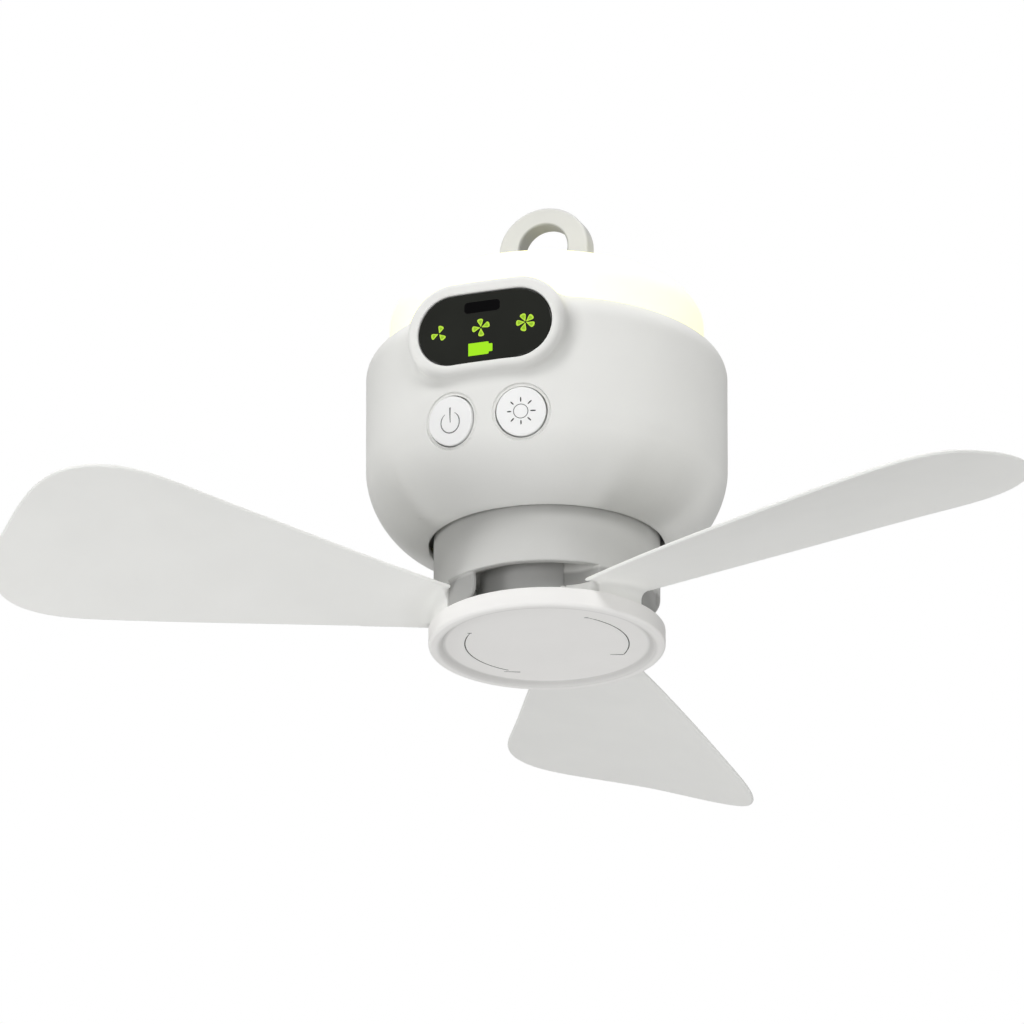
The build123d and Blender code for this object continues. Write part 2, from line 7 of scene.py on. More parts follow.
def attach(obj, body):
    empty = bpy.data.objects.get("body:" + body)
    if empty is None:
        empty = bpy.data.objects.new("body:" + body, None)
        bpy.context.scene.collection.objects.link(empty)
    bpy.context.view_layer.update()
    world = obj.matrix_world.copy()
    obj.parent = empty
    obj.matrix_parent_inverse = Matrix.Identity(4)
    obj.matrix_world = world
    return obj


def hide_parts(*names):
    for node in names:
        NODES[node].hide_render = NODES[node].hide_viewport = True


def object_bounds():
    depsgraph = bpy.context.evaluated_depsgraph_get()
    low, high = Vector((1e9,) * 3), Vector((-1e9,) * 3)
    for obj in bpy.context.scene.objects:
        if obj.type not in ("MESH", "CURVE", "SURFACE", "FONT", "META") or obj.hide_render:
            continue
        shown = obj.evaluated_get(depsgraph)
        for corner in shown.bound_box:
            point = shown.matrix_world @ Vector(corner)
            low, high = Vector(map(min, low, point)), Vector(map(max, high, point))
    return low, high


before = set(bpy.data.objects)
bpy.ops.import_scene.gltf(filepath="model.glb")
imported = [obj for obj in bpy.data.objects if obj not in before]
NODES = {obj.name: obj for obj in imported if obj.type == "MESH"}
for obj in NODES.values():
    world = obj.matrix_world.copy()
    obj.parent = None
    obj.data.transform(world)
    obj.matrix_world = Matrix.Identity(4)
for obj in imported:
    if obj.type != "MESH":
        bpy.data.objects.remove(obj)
CAD_LO, CAD_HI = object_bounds()
CAD_LO, CAD_HI = [float(c) for c in CAD_LO], [float(c) for c in CAD_HI]
MM = 0.001

# ------------------------------------------------------------------ dimensions (mm, from the hanging eye's centre)
R_BODY, WALL, R_OPEN = 62.5, 2.4, 40.8
Z_OPEN, Z_WALL, Z_TOP = -110.4, -82.4, -38.0
LOW_A, LOW_B = 1.72, 1.825
SHO_A, SHO_B = 12.4, 10.7
R_LIP = 54.7
R_DOME, DOME_A, DOME_B, Z_DOME, DOME_T, Z_DOME_FOOT = 54.4, 16.4, 13.0, -16.4, 1.8, -43.4
EYE_R, EYE_TOP, EYE_HOLE, EYE_T = 16.2, 15.0, 8.8, 7.7
LENS_W, LENS_H, BEZEL, Z_LENS, Y_BEZEL, Y_LENS, LENS_T = 48.5, 25.3, 4.6, -52.2, -64.6, -64.0, 1.5
BTN_R, BTN_HOLE, BTN_RECESS, BTN_TILT, Z_BTN = 8.62, 9.1, 10.1, 6.0, -84.1
BTN_AZ = {"power": 257.5, "light": 281.6}
R_DRUM, DRUM_T, Z_DRUM_TOP, Z_DRUM_EDGE, Z_EAR = 39.1, 2.4, -103.5, -130.2, -140.4
R_CAP, Z_CAP_TOP, Z_CAP_BOT = 40.9, -140.7, -147.4
BLADE_AZ = (102.57, 222.57, 342.57)
BLADE_T, K = 1.3, 0.345


# ------------------------------------------------------------------ materials
def srgb(r, g, b):
    def f(c):
        c /= 255.0
        return c / 12.92 if c <= 0.04045 else ((c + 0.055) / 1.055) ** 2.4
    return (f(r), f(g), f(b), 1.0)


def material(name, col, var=0.03, rough=(0.36, 0.44), metallic=0.0, bump=0.02, grain=2600.0, spec=0.5,
             coat=0.0, emit=None, emit_strength=0.0, blotch=90.0, sss=0.0, stretch=None, dist=0.00002, painted_shade_z=None, painted_bore_shade=None):
    """Procedural plastic or metal: two close tones, uneven roughness and a fine grain."""
    m = bpy.data.materials.new(name)
    m.use_nodes = True
    nt = m.node_tree
    nt.nodes.clear()
    N, L = nt.nodes.new, nt.links.new
    out, b = N("ShaderNodeOutputMaterial"), N("ShaderNodeBsdfPrincipled")
    L(b.outputs[0], out.inputs[0])
    tc = N("ShaderNodeTexCoord")
    src = tc.outputs["Object"]
    if stretch:
        mp = N("ShaderNodeMapping")
        mp.inputs["Scale"].default_value = stretch
        L(src, mp.inputs["Vector"])
        src = mp.outputs[0]
    n1 = N("ShaderNodeTexNoise")
    n1.inputs["Scale"].default_value = blotch
    n1.inputs["Detail"].default_value = 3
    L(tc.outputs["Object"], n1.inputs["Vector"])
    ramp = N("ShaderNodeValToRGB")
    lo = [max(0.0, c * (1 - var)) for c in col[:3]] + [1]
    hi = [min(1.0, c * (1 + var)) for c in col[:3]] + [1]
    ramp.color_ramp.elements[0].position, ramp.color_ramp.elements[0].color = 0.3, lo
    ramp.color_ramp.elements[1].position, ramp.color_ramp.elements[1].color = 0.7, hi
    L(n1.outputs["Fac"], ramp.inputs["Fac"])
    if painted_shade_z:             # painted shade: darker below a height, (height above, height below, share left)
        sep, mz, mul = N("ShaderNodeSeparateXYZ"), N("ShaderNodeMapRange"), N("ShaderNodeVectorMath")
        L(tc.outputs["Object"], sep.inputs[0])
        L(sep.outputs[2], mz.inputs["Value"])
        mz.inputs["From Min"].default_value, mz.inputs["From Max"].default_value = painted_shade_z[1], painted_shade_z[0]
        mz.inputs["To Min"].default_value, mz.inputs["To Max"].default_value = painted_shade_z[2], 1.0
        mul.operation = "SCALE"
        L(ramp.outputs["Color"], mul.inputs[0])
        L(mz.outputs[0], mul.inputs["Scale"])
        L(mul.outputs[0], b.inputs["Base Color"])
    elif painted_bore_shade:          # painted shade: darker inside a bore along Y, (radius, radius clear of it, share left)
        sep, join, ln, mz, mul = [N(k) for k in ("ShaderNodeSeparateXYZ", "ShaderNodeCombineXYZ", "ShaderNodeVectorMath", "ShaderNodeMapRange", "ShaderNodeVectorMath")]
        L(tc.outputs["Object"], sep.inputs[0])
        L(sep.outputs[0], join.inputs[0])
        L(sep.outputs[2], join.inputs[2])
        ln.operation, mul.operation = "LENGTH", "SCALE"
        L(join.outputs[0], ln.inputs[0])
        L(ln.outputs["Value"], mz.inputs["Value"])
        mz.inputs["From Min"].default_value, mz.inputs["From Max"].default_value = painted_bore_shade[0], painted_bore_shade[1]
        mz.inputs["To Min"].default_value, mz.inputs["To Max"].default_value = painted_bore_shade[2], 1.0
        L(ramp.outputs["Color"], mul.inputs[0])
        L(mz.outputs[0], mul.inputs["Scale"])
        L(mul.outputs[0], b.inputs["Base Color"])
    else:
        L(ramp.outputs["Color"], b.inputs["Base Color"])
    n2 = N("ShaderNodeTexNoise")
    n2.inputs["Scale"].default_value = grain
    n2.inputs["Detail"].default_value = 4
    L(src, n2.inputs["Vector"])
    mr = N("ShaderNodeMapRange")
    mr.inputs["To Min"].default_value, mr.inputs["To Max"].default_value = rough
    L(n2.outputs["Fac"], mr.inputs["Value"])
    L(mr.outputs[0], b.inputs["Roughness"])
    if bump:
        bp = N("ShaderNodeBump")
        bp.inputs["Strength"].default_value = bump
        bp.inputs["Distance"].default_value = dist
        L(n2.outputs["Fac"], bp.inputs["Height"])
        L(bp.outputs[0], b.inputs["Normal"])
    b.inputs["Metallic"].default_value = metallic
    b.inputs["Specular IOR Level"].default_value = spec
    b.inputs["Coat Weight"].default_value = coat
    b.inputs["Subsurface Weight"].default_value = sss
    if sss:
        b.inputs["Subsurface Radius"].default_value = (0.004, 0.003, 0.002)
    if emit:
        b.inputs["Emission Color"].default_value = emit
        b.inputs["Emission Strength"].default_value = emit_strength
    return m


# Painted shade: the shell's white darkens towards the lower bowl, from 89 mm to 109 mm below the eye's centre.
WHITE = material("white_abs", (0.80, 0.80, 0.775), var=0.008, rough=(0.50, 0.60), bump=0.05, grain=2400, blotch=60, spec=0.35, painted_shade_z=(-0.089, -0.109, 0.80))


def node_tools(m):
    nt = m.node_tree
    N, L = nt.nodes.new, nt.links.new

    def math_(op, *args):
        q = N("ShaderNodeMath")
        q.operation = op
        for i, v in enumerate(args):
            if isinstance(v, (int, float)):
                q.inputs[i].default_value = v
            else:
                L(v, q.inputs[i])
        return q.outputs[0]

    def span(v, x0, x1, y0, y1):
        q = N("ShaderNodeMapRange")
        q.interpolation_type = "SMOOTHSTEP"
        L(v, q.inputs["Value"])
        for k, val in (("From Min", x0), ("From Max", x1), ("To Min", y0), ("To Max", y1)):
            q.inputs[k].default_value = val
        return q.outputs[0]

    def scale_colour(k):
        b = [n for n in nt.nodes if n.type == "BSDF_PRINCIPLED"][0]
        old = b.inputs["Base Color"].links[0].from_socket
        mul = N("ShaderNodeVectorMath")
        mul.operation = "SCALE"
        L(old, mul.inputs[0])
        L(k, mul.inputs["Scale"])
        L(mul.outputs[0], b.inputs["Base Color"])

    tc, sep = N("ShaderNodeTexCoord"), N("ShaderNodeSeparateXYZ")
    L(tc.outputs["Object"], sep.inputs[0])
    return math_, span, scale_colour, sep.outputs[0], sep.outputs[1], sep.outputs[2]


def foot_shade(m, a, zc, r0, r1, r2, left):
    """Darkens the foot of the display surround, below it and to its right, where little light reaches."""
    math_, span, scale_colour, x, y, z = node_tools(m)
    sx = math_("SUBTRACT", x, math_("MINIMUM", math_("MAXIMUM", x, -a), a))
    sz = math_("SUBTRACT", z, zc)
    r = math_("SQRT", math_("ADD", math_("MULTIPLY", sx, sx), math_("MULTIPLY", sz, sz)))
    band = math_("MULTIPLY", span(r, r0, r1, 0.0, 1.0), span(r, r1, r2, 1.0, 0.0))
    way = math_("DIVIDE", math_("SUBTRACT", math_("MULTIPLY", sx, 0.75), sz), math_("MAXIMUM", r, 0.001))
    k = math_("MULTIPLY", math_("MULTIPLY", band, span(way, 0.0, 0.75, 0.0, 1.0)), span(y, -0.050, -0.044, 1.0, 0.0))
    scale_colour(math_("SUBTRACT", 1.0, math_("MULTIPLY", k, 1.0 - left)))


def ring_shade(m, r0, r1, r2, left):
    """Darkens the corner at the foot of a round rim about the Z axis."""
    math_, span, scale_colour, x, y, z = node_tools(m)
    r = math_("SQRT", math_("ADD", math_("MULTIPLY", x, x), math_("MULTIPLY", y, y)))
    band = math_("MULTIPLY", span(r, r0, r1, 0.0, 1.0), span(r, r1, r2, 1.0, 0.0))
    scale_colour(math_("SUBTRACT", 1.0, math_("MULTIPLY", band, 1.0 - left)))


foot_shade(WHITE, 0.0116, -0.0522, 0.0136, 0.0164, 0.0220, 0.75)
# Painted shade: the drum is a darker copy of the white plastic, for the shade under the bowl, and darkens further below
# the drum's edge on its ears and arms.
DRUM_WHITE_PAINTED_SHADE = material("white_abs_drum_painted_shade", (0.60, 0.60, 0.58), var=0.008, rough=(0.50, 0.60), bump=0.05, grain=2400, blotch=60, spec=0.4, painted_shade_z=(-0.1303, -0.1314, 0.62))
# Painted shade: the hub is a still darker copy of the white plastic, for the shade deep in the recess.
HUB_WHITE_PAINTED_SHADE = material("white_abs_hub_painted_shade", (0.48, 0.48, 0.47), var=0.01, rough=(0.5, 0.6), bump=0.05, grain=2400, blotch=60, spec=0.3)
# Painted light: the cap is a lighter copy of the white plastic, standing in for light from below; ring_shade adds
# painted shade in the groove at the foot of the rim.
WHITE_CAP = material("white_abs_cap", (0.90, 0.89, 0.87), var=0.008, rough=(0.50, 0.60), bump=0.08, grain=1900, blotch=60, spec=0.35)
ring_shade(WHITE_CAP, 0.0344, 0.0362, 0.0388, 0.66)
# Painted light: the blades' lighter tone stands in for light on their undersides from below.
BLADE = material("white_pp_blade", (0.89, 0.89, 0.865), var=0.012, rough=(0.48, 0.60), bump=0.12, grain=1500, blotch=40, spec=0.3)
BUTTON = material("white_button", (0.90, 0.90, 0.895), var=0.006, rough=(0.42, 0.50), bump=0.03, grain=2600, blotch=120, spec=0.35)
# Painted shade: the eye's plastic darkens inside the hanging hole.
EYE = material("white_eye", (0.66, 0.66, 0.65), var=0.008, rough=(0.40, 0.50), bump=0.06, grain=2400, blotch=90, spec=0.4, painted_bore_shade=(0.0090, 0.0096, 0.60))
LENS = material("smoked_lens", (0.016, 0.017, 0.014), var=0.10, rough=(0.06, 0.10), bump=0.0, grain=900, blotch=50, spec=0.25)
IRW = material("ir_window", (0.0012, 0.001, 0.0014), var=0.2, rough=(0.10, 0.14), bump=0.0, grain=900, spec=0.15)
ICON = material("icon_green", (0.04, 0.06, 0.008), var=0.05, rough=(0.45, 0.55), grain=2000, bump=0.0, spec=0.1, emit=srgb(188, 228, 66), emit_strength=0.93)
BATT = material("icon_battery", (0.03, 0.06, 0.004), var=0.05, rough=(0.45, 0.55), grain=2000, bump=0.0, spec=0.1, emit=srgb(163, 232, 30), emit_strength=0.95)
MARK = material("mark_grey", srgb(105, 105, 105), var=0.06, rough=(0.5, 0.6), grain=3000, bump=0.0, spec=0.3)
MARK_DARK = material("mark_dark", srgb(62, 62, 60), var=0.06, rough=(0.5, 0.6), grain=3000, bump=0.0, spec=0.3)
STEEL = material("steel_part", (0.55, 0.55, 0.56), var=0.06, rough=(0.25, 0.42), metallic=1.0, bump=0.1, grain=1800, blotch=200)
TIN = material("tinned_socket", (0.62, 0.61, 0.60), var=0.05, rough=(0.22, 0.34), metallic=1.0, bump=0.05, grain=1800, blotch=300)
COPPER = material("copper_wire", (0.72, 0.30, 0.12), var=0.12, rough=(0.25, 0.4), metallic=1.0, bump=0.4, grain=900, blotch=400, stretch=(1, 1, 6))
CORE = material("laminated_core", (0.20, 0.21, 0.22), var=0.1, rough=(0.4, 0.55), metallic=0.9, bump=0.4, grain=400, blotch=300, stretch=(1, 1, 14))
MAGNET = material("ferrite", (0.055, 0.055, 0.06), var=0.12, rough=(0.5, 0.65), bump=0.25, grain=1200, blotch=200)
PCB = material("solder_mask", (0.015, 0.10, 0.035), var=0.12, rough=(0.28, 0.4), bump=0.1, grain=1400, blotch=350)
PCB_W = material("white_solder_mask", (0.82, 0.82, 0.79), var=0.03, rough=(0.3, 0.42), bump=0.05, grain=1400, blotch=350)
PHOS = material("led_phosphor", (0.95, 0.80, 0.30), var=0.05, rough=(0.4, 0.5), bump=0.05, grain=1800, emit=(1.0, 0.86, 0.62, 1), emit_strength=3.0)
CHIP = material("moulded_component", (0.02, 0.02, 0.022), var=0.2, rough=(0.45, 0.6), bump=0.2, grain=1800, blotch=300)
CELL = material("cell_sleeve", (0.02, 0.11, 0.32), var=0.08, rough=(0.25, 0.35), bump=0.08, grain=700, blotch=150, coat=0.2)
GREY = material("grey_abs", (0.06, 0.062, 0.066), var=0.08, rough=(0.45, 0.58), bump=0.15, grain=1600, blotch=120)
NYLON = material("glass_filled_nylon", (0.48, 0.49, 0.49), var=0.05, rough=(0.48, 0.6), bump=0.2, grain=1500, blotch=160)
RED = material("silicone_lead", (0.42, 0.015, 0.012), var=0.08, rough=(0.4, 0.5), bump=0.05, grain=1200, blotch=200)
FLAT = material("flat_cable", (0.55, 0.52, 0.42), var=0.06, rough=(0.35, 0.5), bump=0.3, grain=300, blotch=200, stretch=(14, 1, 1))


def dome_material():
    """Opal diffuser lit from inside: warm white, a little brighter over the ring of lamps than at its rim."""
    m = bpy.data.materials.new("opal_dome")
    m.use_nodes = True
    nt = m.node_tree
    nt.nodes.clear()
    N, L = nt.nodes.new, nt.links.new
    out, b = N("ShaderNodeOutputMaterial"), N("ShaderNodeBsdfPrincipled")
    L(b.outputs[0], out.inputs[0])
    tc, sep = N("ShaderNodeTexCoord"), N("ShaderNodeSeparateXYZ")
    L(tc.outputs["Object"], sep.inputs[0])
    mr = N("ShaderNodeMapRange")
    mr.inputs["From Min"].default_value, mr.inputs["From Max"].default_value = -0.040, -0.017
    mr.inputs["To Min"].default_value, mr.inputs["To Max"].default_value = 0.0, 1.0
    L(sep.outputs["Z"], mr.inputs["Value"])
    nz = N("ShaderNodeTexNoise")
    nz.inputs["Scale"].default_value = 55
    nz.inputs["Detail"].default_value = 2
    L(tc.outputs["Object"], nz.inputs["Vector"])
    mix = N("ShaderNodeMath")
    mix.operation = "MULTIPLY_ADD"
    mix.inputs[1].default_value = 0.16
    L(nz.outputs["Fac"], mix.inputs[0])
    L(mr.outputs[0], mix.inputs[2])
    ramp = N("ShaderNodeValToRGB")
    ramp.color_ramp.elements[0].position, ramp.color_ramp.elements[0].color = 0.0, (1.0, 0.955, 0.35, 1)
    ramp.color_ramp.elements[1].position, ramp.color_ramp.elements[1].color = 1.0, (1.0, 0.975, 0.41, 1)
    L(mix.outputs[0], ramp.inputs["Fac"])
    L(ramp.outputs["Color"], b.inputs["Emission Color"])
    flat, far = N("ShaderNodeCombineXYZ"), N("ShaderNodeVectorMath")
    far.operation = "LENGTH"
    L(sep.outputs["X"], flat.inputs["X"])
    L(sep.outputs["Y"], flat.inputs["Y"])
    L(flat.outputs[0], far.inputs[0])
    ring = N("ShaderNodeMapRange")
    ring.interpolation_type = "SMOOTHSTEP"
    ring.inputs["From Min"].default_value, ring.inputs["From Max"].default_value = 0.016, 0.040
    ring.inputs["To Min"].default_value, ring.inputs["To Max"].default_value = 0.22 * DOME_GLOW, DOME_GLOW
    L(far.outputs["Value"], ring.inputs["Value"])
    L(ring.outputs[0], b.inputs["Emission Strength"])
    ramp2 = N("ShaderNodeValToRGB")
    ramp2.color_ramp.elements[0].color, ramp2.color_ramp.elements[1].color = (0.78, 0.77, 0.66, 1), (0.82, 0.81, 0.70, 1)
    L(nz.outputs["Fac"], ramp2.inputs["Fac"])
    L(ramp2.outputs["Color"], b.inputs["Base Color"])
    g = N("ShaderNodeTexNoise")
    g.inputs["Scale"].default_value = 1800
    L(tc.outputs["Object"], g.inputs["Vector"])
    mr2 = N("ShaderNodeMapRange")
    mr2.inputs["To Min"].default_value, mr2.inputs["To Max"].default_value = 0.42, 0.55
    L(g.outputs["Fac"], mr2.inputs["Value"])
    L(mr2.outputs[0], b.inputs["Roughness"])
    return m


DOME_GLOW = 0.90
DOME = dome_material()


# ------------------------------------------------------------------ mesh helpers
def build(name, V, F, mat, body, replaces=(), loop_normals=None, smooth=True):
    """A piece from millimetre vertices and faces, with its own shading normals if given."""
    me = bpy.data.meshes.new(name)
    V = np.asarray(V, dtype=np.float64) * MM
    me.from_pydata(V.tolist(), [], [list(map(int, f)) for f in F] if not isinstance(F, np.ndarray) else F.tolist())
    me.materials.append(mat)
    me.polygons.foreach_set("use_smooth", np.full(len(me.polygons), smooth))
    me.update()
    if loop_normals is not None:
        me.normals_split_custom_set(np.asarray(loop_normals, dtype=np.float32).tolist())
    ob = bpy.data.objects.new(name, me)
    bpy.context.scene.collection.objects.link(ob)
    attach(ob, body)
    if replaces:
        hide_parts(*replaces)
    return ob


def unit(v):
    return v / np.maximum(np.linalg.norm(v, axis=-1, keepdims=True), 1e-12)


def grad(fn, P, e=0.06):
    g = np.empty_like(P)
    for a in range(3):
        d = np.zeros(3)
        d[a] = e
        g[:, a] = fn(P + d) - fn(P - d)
    return unit(g)


def contour(fn, lo, hi, h, block=4):
    """Dual contouring of a signed distance: vertices, quads and a normal per face corner. Sharp edges stay sharp."""
    lo, hi = np.array(lo, float), np.array(hi, float)
    n = np.ceil((hi - lo) / h).astype(int) + 2
    nb = np.ceil(n / block).astype(int)
    ax = [lo[a] + (np.arange(nb[a]) * block + (block - 1) / 2) * h for a in range(3)]
    G = np.stack(np.meshgrid(*ax, indexing="ij"), -1).reshape(-1, 3)
    fc = fn(G).reshape(nb)
    near = np.abs(fc) < block * h * 0.87 + 1.2 * h
    rep = lambda A: np.repeat(np.repeat(np.repeat(A, block, 0), block, 1), block, 2)[: n[0], : n[1], : n[2]]
    f = rep(fc).astype(np.float64)
    I = np.argwhere(rep(near))
    for s in range(0, len(I), 400000):
        J = I[s: s + 400000]
        f[J[:, 0], J[:, 1], J[:, 2]] = fn(lo + J * h)
    ins = f < 0
    c = np.zeros(n - 1, np.int8)
    for dx in (0, 1):
        for dy in (0, 1):
            for dz in (0, 1):
                c += ins[dx: n[0] - 1 + dx, dy: n[1] - 1 + dy, dz: n[2] - 1 + dz]
    act = (c > 0) & (c < 8)
    idx = np.full(n - 1, -1, np.int64)
    cells = np.argwhere(act)
    m = len(cells)
    idx[act] = np.arange(m)
    ATA = np.zeros((m, 6))
    ATb = np.zeros((m, 3))
    mass = np.zeros((m, 3))
    cnt = np.zeros(m)
    quads = []
    for a in range(3):
        b1, b2 = (a + 1) % 3, (a + 2) % 3
        sl0, sl1 = [slice(None)] * 3, [slice(None)] * 3
        sl0[a], sl1[a] = slice(0, -1), slice(1, None)
        E = np.argwhere(ins[tuple(sl0)] != ins[tuple(sl1)])
        E = E[(E[:, b1] > 0) & (E[:, b2] > 0) & (E[:, b1] < n[b1] - 1) & (E[:, b2] < n[b2] - 1)]
        if not len(E):
            continue
        E1 = E.copy()
        E1[:, a] += 1
        p0, p1 = lo + E * h, lo + E1 * h
        f0, f1 = f[tuple(E.T)], f[tuple(E1.T)]
        flip = f0 < 0
        for _ in range(4):
            t = np.clip(f0 / (f0 - f1), 0.02, 0.98)
            p = p0 + (p1 - p0) * t[:, None]
            fp = fn(p)
            same = (fp < 0) == (f0 < 0)
            p0 = np.where(same[:, None], p, p0)
            f0 = np.where(same, fp, f0)
            p1 = np.where(same[:, None], p1, p)
            f1 = np.where(same, f1, fp)
        t = np.clip(f0 / (f0 - f1 + 1e-30), 0, 1)
        p = p0 + (p1 - p0) * t[:, None]
        g = grad(fn, p)
        q = []
        for o1, o2 in ((-1, -1), (0, -1), (0, 0), (-1, 0)):
            C = E.copy()
            C[:, b1] += o1
            C[:, b2] += o2
            q.append(idx[tuple(C.T)])
        q = np.stack(q, 1)
        q[flip] = q[flip][:, ::-1]
        quads.append(q)
        gb = (g * p).sum(1)
        for k in range(4):
            w = q[:, k]
            for r, (i, j) in enumerate(((0, 0), (0, 1), (0, 2), (1, 1), (1, 2), (2, 2))):
                ATA[:, r] += np.bincount(w, g[:, i] * g[:, j], m)
            for i in range(3):
                ATb[:, i] += np.bincount(w, g[:, i] * gb, m)
                mass[:, i] += np.bincount(w, p[:, i], m)
            cnt += np.bincount(w, minlength=m)
    quads = np.concatenate(quads)
    mean = mass / np.maximum(cnt, 1)[:, None]
    M = np.empty((m, 3, 3))
    for r, (i, j) in enumerate(((0, 0), (0, 1), (0, 2), (1, 1), (1, 2), (2, 2))):
        M[:, i, j] = M[:, j, i] = ATA[:, r]
    rhs = ATb - np.einsum("nij,nj->ni", M, mean)
    M += np.eye(3) * 0.03 * np.maximum(cnt, 1)[:, None, None]
    V = mean + np.linalg.solve(M, rhs[..., None])[..., 0]
    low = lo + cells * h
    V = np.clip(V, low - 0.25 * h, low + 1.25 * h)
    P = V[quads]
    fnrm = np.cross(P[:, 2] - P[:, 0], P[:, 3] - P[:, 1])
    ctr = P.mean(1, keepdims=True)
    LP = (P + 0.35 * (ctr - P)).reshape(-1, 3)
    LN = np.concatenate([grad(fn, LP[s: s + 400000]) for s in range(0, len(LP), 400000)]).reshape(-1, 4, 3)
    turn = (LN.sum(1) * fnrm).sum(1) < 0
    quads[turn] = quads[turn][:, ::-1]
    LN[turn] = LN[turn][:, ::-1]
    used = np.zeros(m, bool)
    used[quads.ravel()] = True
    new = np.cumsum(used) - 1
    return V[used], new[quads], LN.reshape(-1, 3)


def smin(a, b, k):
    h = np.maximum(k - np.abs(a - b), 0.0) / k
    return np.minimum(a, b) - h * h * k * 0.25


def smax(a, b, k):
    return -smin(-a, -b, k)


def poly_sd(px, py, poly):
    """Signed distance to a closed polygon, negative inside."""
    d = np.full(px.shape, 1e9)
    ins = np.zeros(px.shape, bool)
    n = len(poly)
    for i in range(n):
        ax_, ay = poly[i]
        bx, by = poly[(i + 1) % n]
        ex, ey = bx - ax_, by - ay
        l2 = ex * ex + ey * ey
        if l2 < 1e-12:
            continue
        wx, wy = px - ax_, py - ay
        t = np.clip((wx * ex + wy * ey) / l2, 0, 1)
        np.minimum(d, (wx - ex * t) ** 2 + (wy - ey * t) ** 2, out=d)
        c = (ay > py) != (by > py)
        with np.errstate(divide="ignore", invalid="ignore"):
            ins ^= c & (px < (bx - ax_) * (py - ay) / (by - ay if by != ay else 1e-12) + ax_)
    d = np.sqrt(d)
    return np.where(ins, -d, d)


def rounded(pts, n=7):
    """Closed polygon of (x, y, radius), anticlockwise, to points and outward normals. Radius 0 keeps a hard corner."""
    P, Q = [], []
    m = len(pts)
    for i in range(m):
        a, b, c = (np.array(pts[(i + k) % m][:2], float) for k in (-1, 0, 1))
        r = pts[i][2]
        u, v = unit(b - a), unit(c - b)
        nu, nv = np.array([u[1], -u[0]]), np.array([v[1], -v[0]])
        turn = u[0] * v[1] - u[1] * v[0]
        if r <= 0 or abs(turn) < 1e-6:
            P += [b, b] if abs(turn) > 1e-6 else [b]
            Q += [nu, nv] if abs(turn) > 1e-6 else [nu]
            continue
        ang = math.atan2(turn, float(u @ v))
        t = r * math.tan(abs(ang) / 2)
        s = 1 if turn > 0 else -1
        ctr = b - u * t - nu * r * s
        for k in range(n + 1):
            w = ang * k / n
            cs, sn = math.cos(w), math.sin(w)
            q = np.array([nu[0] * cs - nu[1] * sn, nu[0] * sn + nu[1] * cs])
            P.append(ctr + q * r * s)
            Q.append(q)
    return np.array(P), np.array(Q)


def lathe(P, Q, seg=192, closed=True):
    """Solid of revolution from profile points (r, z) with normals."""
    V, F, LN = [], [], []
    th = np.arange(seg) / seg * 2 * math.pi
    cs, sn = np.cos(th), np.sin(th)
    ring, vert_n = [], []
    for (r, z) in P:
        if r < 1e-5:
            ring.append([len(V)] * seg)
            V.append((0, 0, z))
        else:
            ring.append(list(range(len(V), len(V) + seg)))
            V += list(zip(r * cs, r * sn, np.full(seg, z)))
    m = len(P)
    for i in range(m if closed else m - 1):
        j = (i + 1) % m
        if np.allclose(P[i], P[j]):
            continue
        if P[i][0] < 1e-5 and P[j][0] < 1e-5:
            continue
        for k in range(seg):
            l = (k + 1) % seg
            na = lambda q, w: (q[0] * cs[w], q[0] * sn[w], q[1])
            f = [ring[i][k], ring[i][l], ring[j][l], ring[j][k]]
            nn = [na(Q[i], k), na(Q[i], l), na(Q[j], l), na(Q[j], k)]
            if P[i][0] < 1e-5:
                f, nn = [f[0], f[2], f[3]], [nn[0], nn[2], nn[3]]
            elif P[j][0] < 1e-5:
                f, nn = [f[0], f[1], f[2]], [nn[0], nn[1], nn[2]]
            F.append(f)
            LN += nn
    # the profile runs anticlockwise in (r, z), so faces wind inwards: turn them
    V = np.array(V)
    F2, LN2, s = [], [], 0
    for f in F:
        n = len(f)
        nn = LN[s: s + n]
        s += n
        p = V[f]
        fn_ = np.cross(p[1] - p[0], p[2] - p[0])
        if fn_ @ np.sum(nn, 0) < 0:
            f, nn = f[::-1], nn[::-1]
        F2.append(f)
        LN2 += nn
    # join rings that lie on each other
    key, remap, keep = {}, [], []
    for i, v in enumerate(np.round(V, 5)):
        k = tuple(v)
        if k not in key:
            key[k] = len(keep)
            keep.append(i)
        remap.append(key[k])
    return V[keep], [[remap[i] for i in f] for f in F2], LN2


def merge(*parts):
    V, F, LN, o = [], [], [], 0
    for v, f, l in parts:
        V.append(np.asarray(v))
        F += [[int(i) + o for i in q] for q in f]
        LN += [tuple(x) for x in l]
        o += len(v)
    return np.concatenate(V), F, LN


def rot_z(a):
    a = math.radians(a)
    return np.array([[math.cos(a), -math.sin(a), 0], [math.sin(a), math.cos(a), 0], [0, 0, 1]])


def turned(part, a):
    R = rot_z(a)
    return np.asarray(part[0]) @ R.T, part[1], (np.asarray(part[2]) @ R.T).tolist()


# ------------------------------------------------------------------ shell
def stad(x, z, w, h):
    return np.hypot(np.maximum(np.abs(x) - (w - h) / 2, 0.0), z) - h / 2


def edge(a, b, r):
    """Corner of two half spaces, rounded to radius r."""
    u, v = a + r, b + r
    return np.minimum(np.maximum(u, v), 0.0) + np.hypot(np.maximum(u, 0.0), np.maximum(v, 0.0)) - r


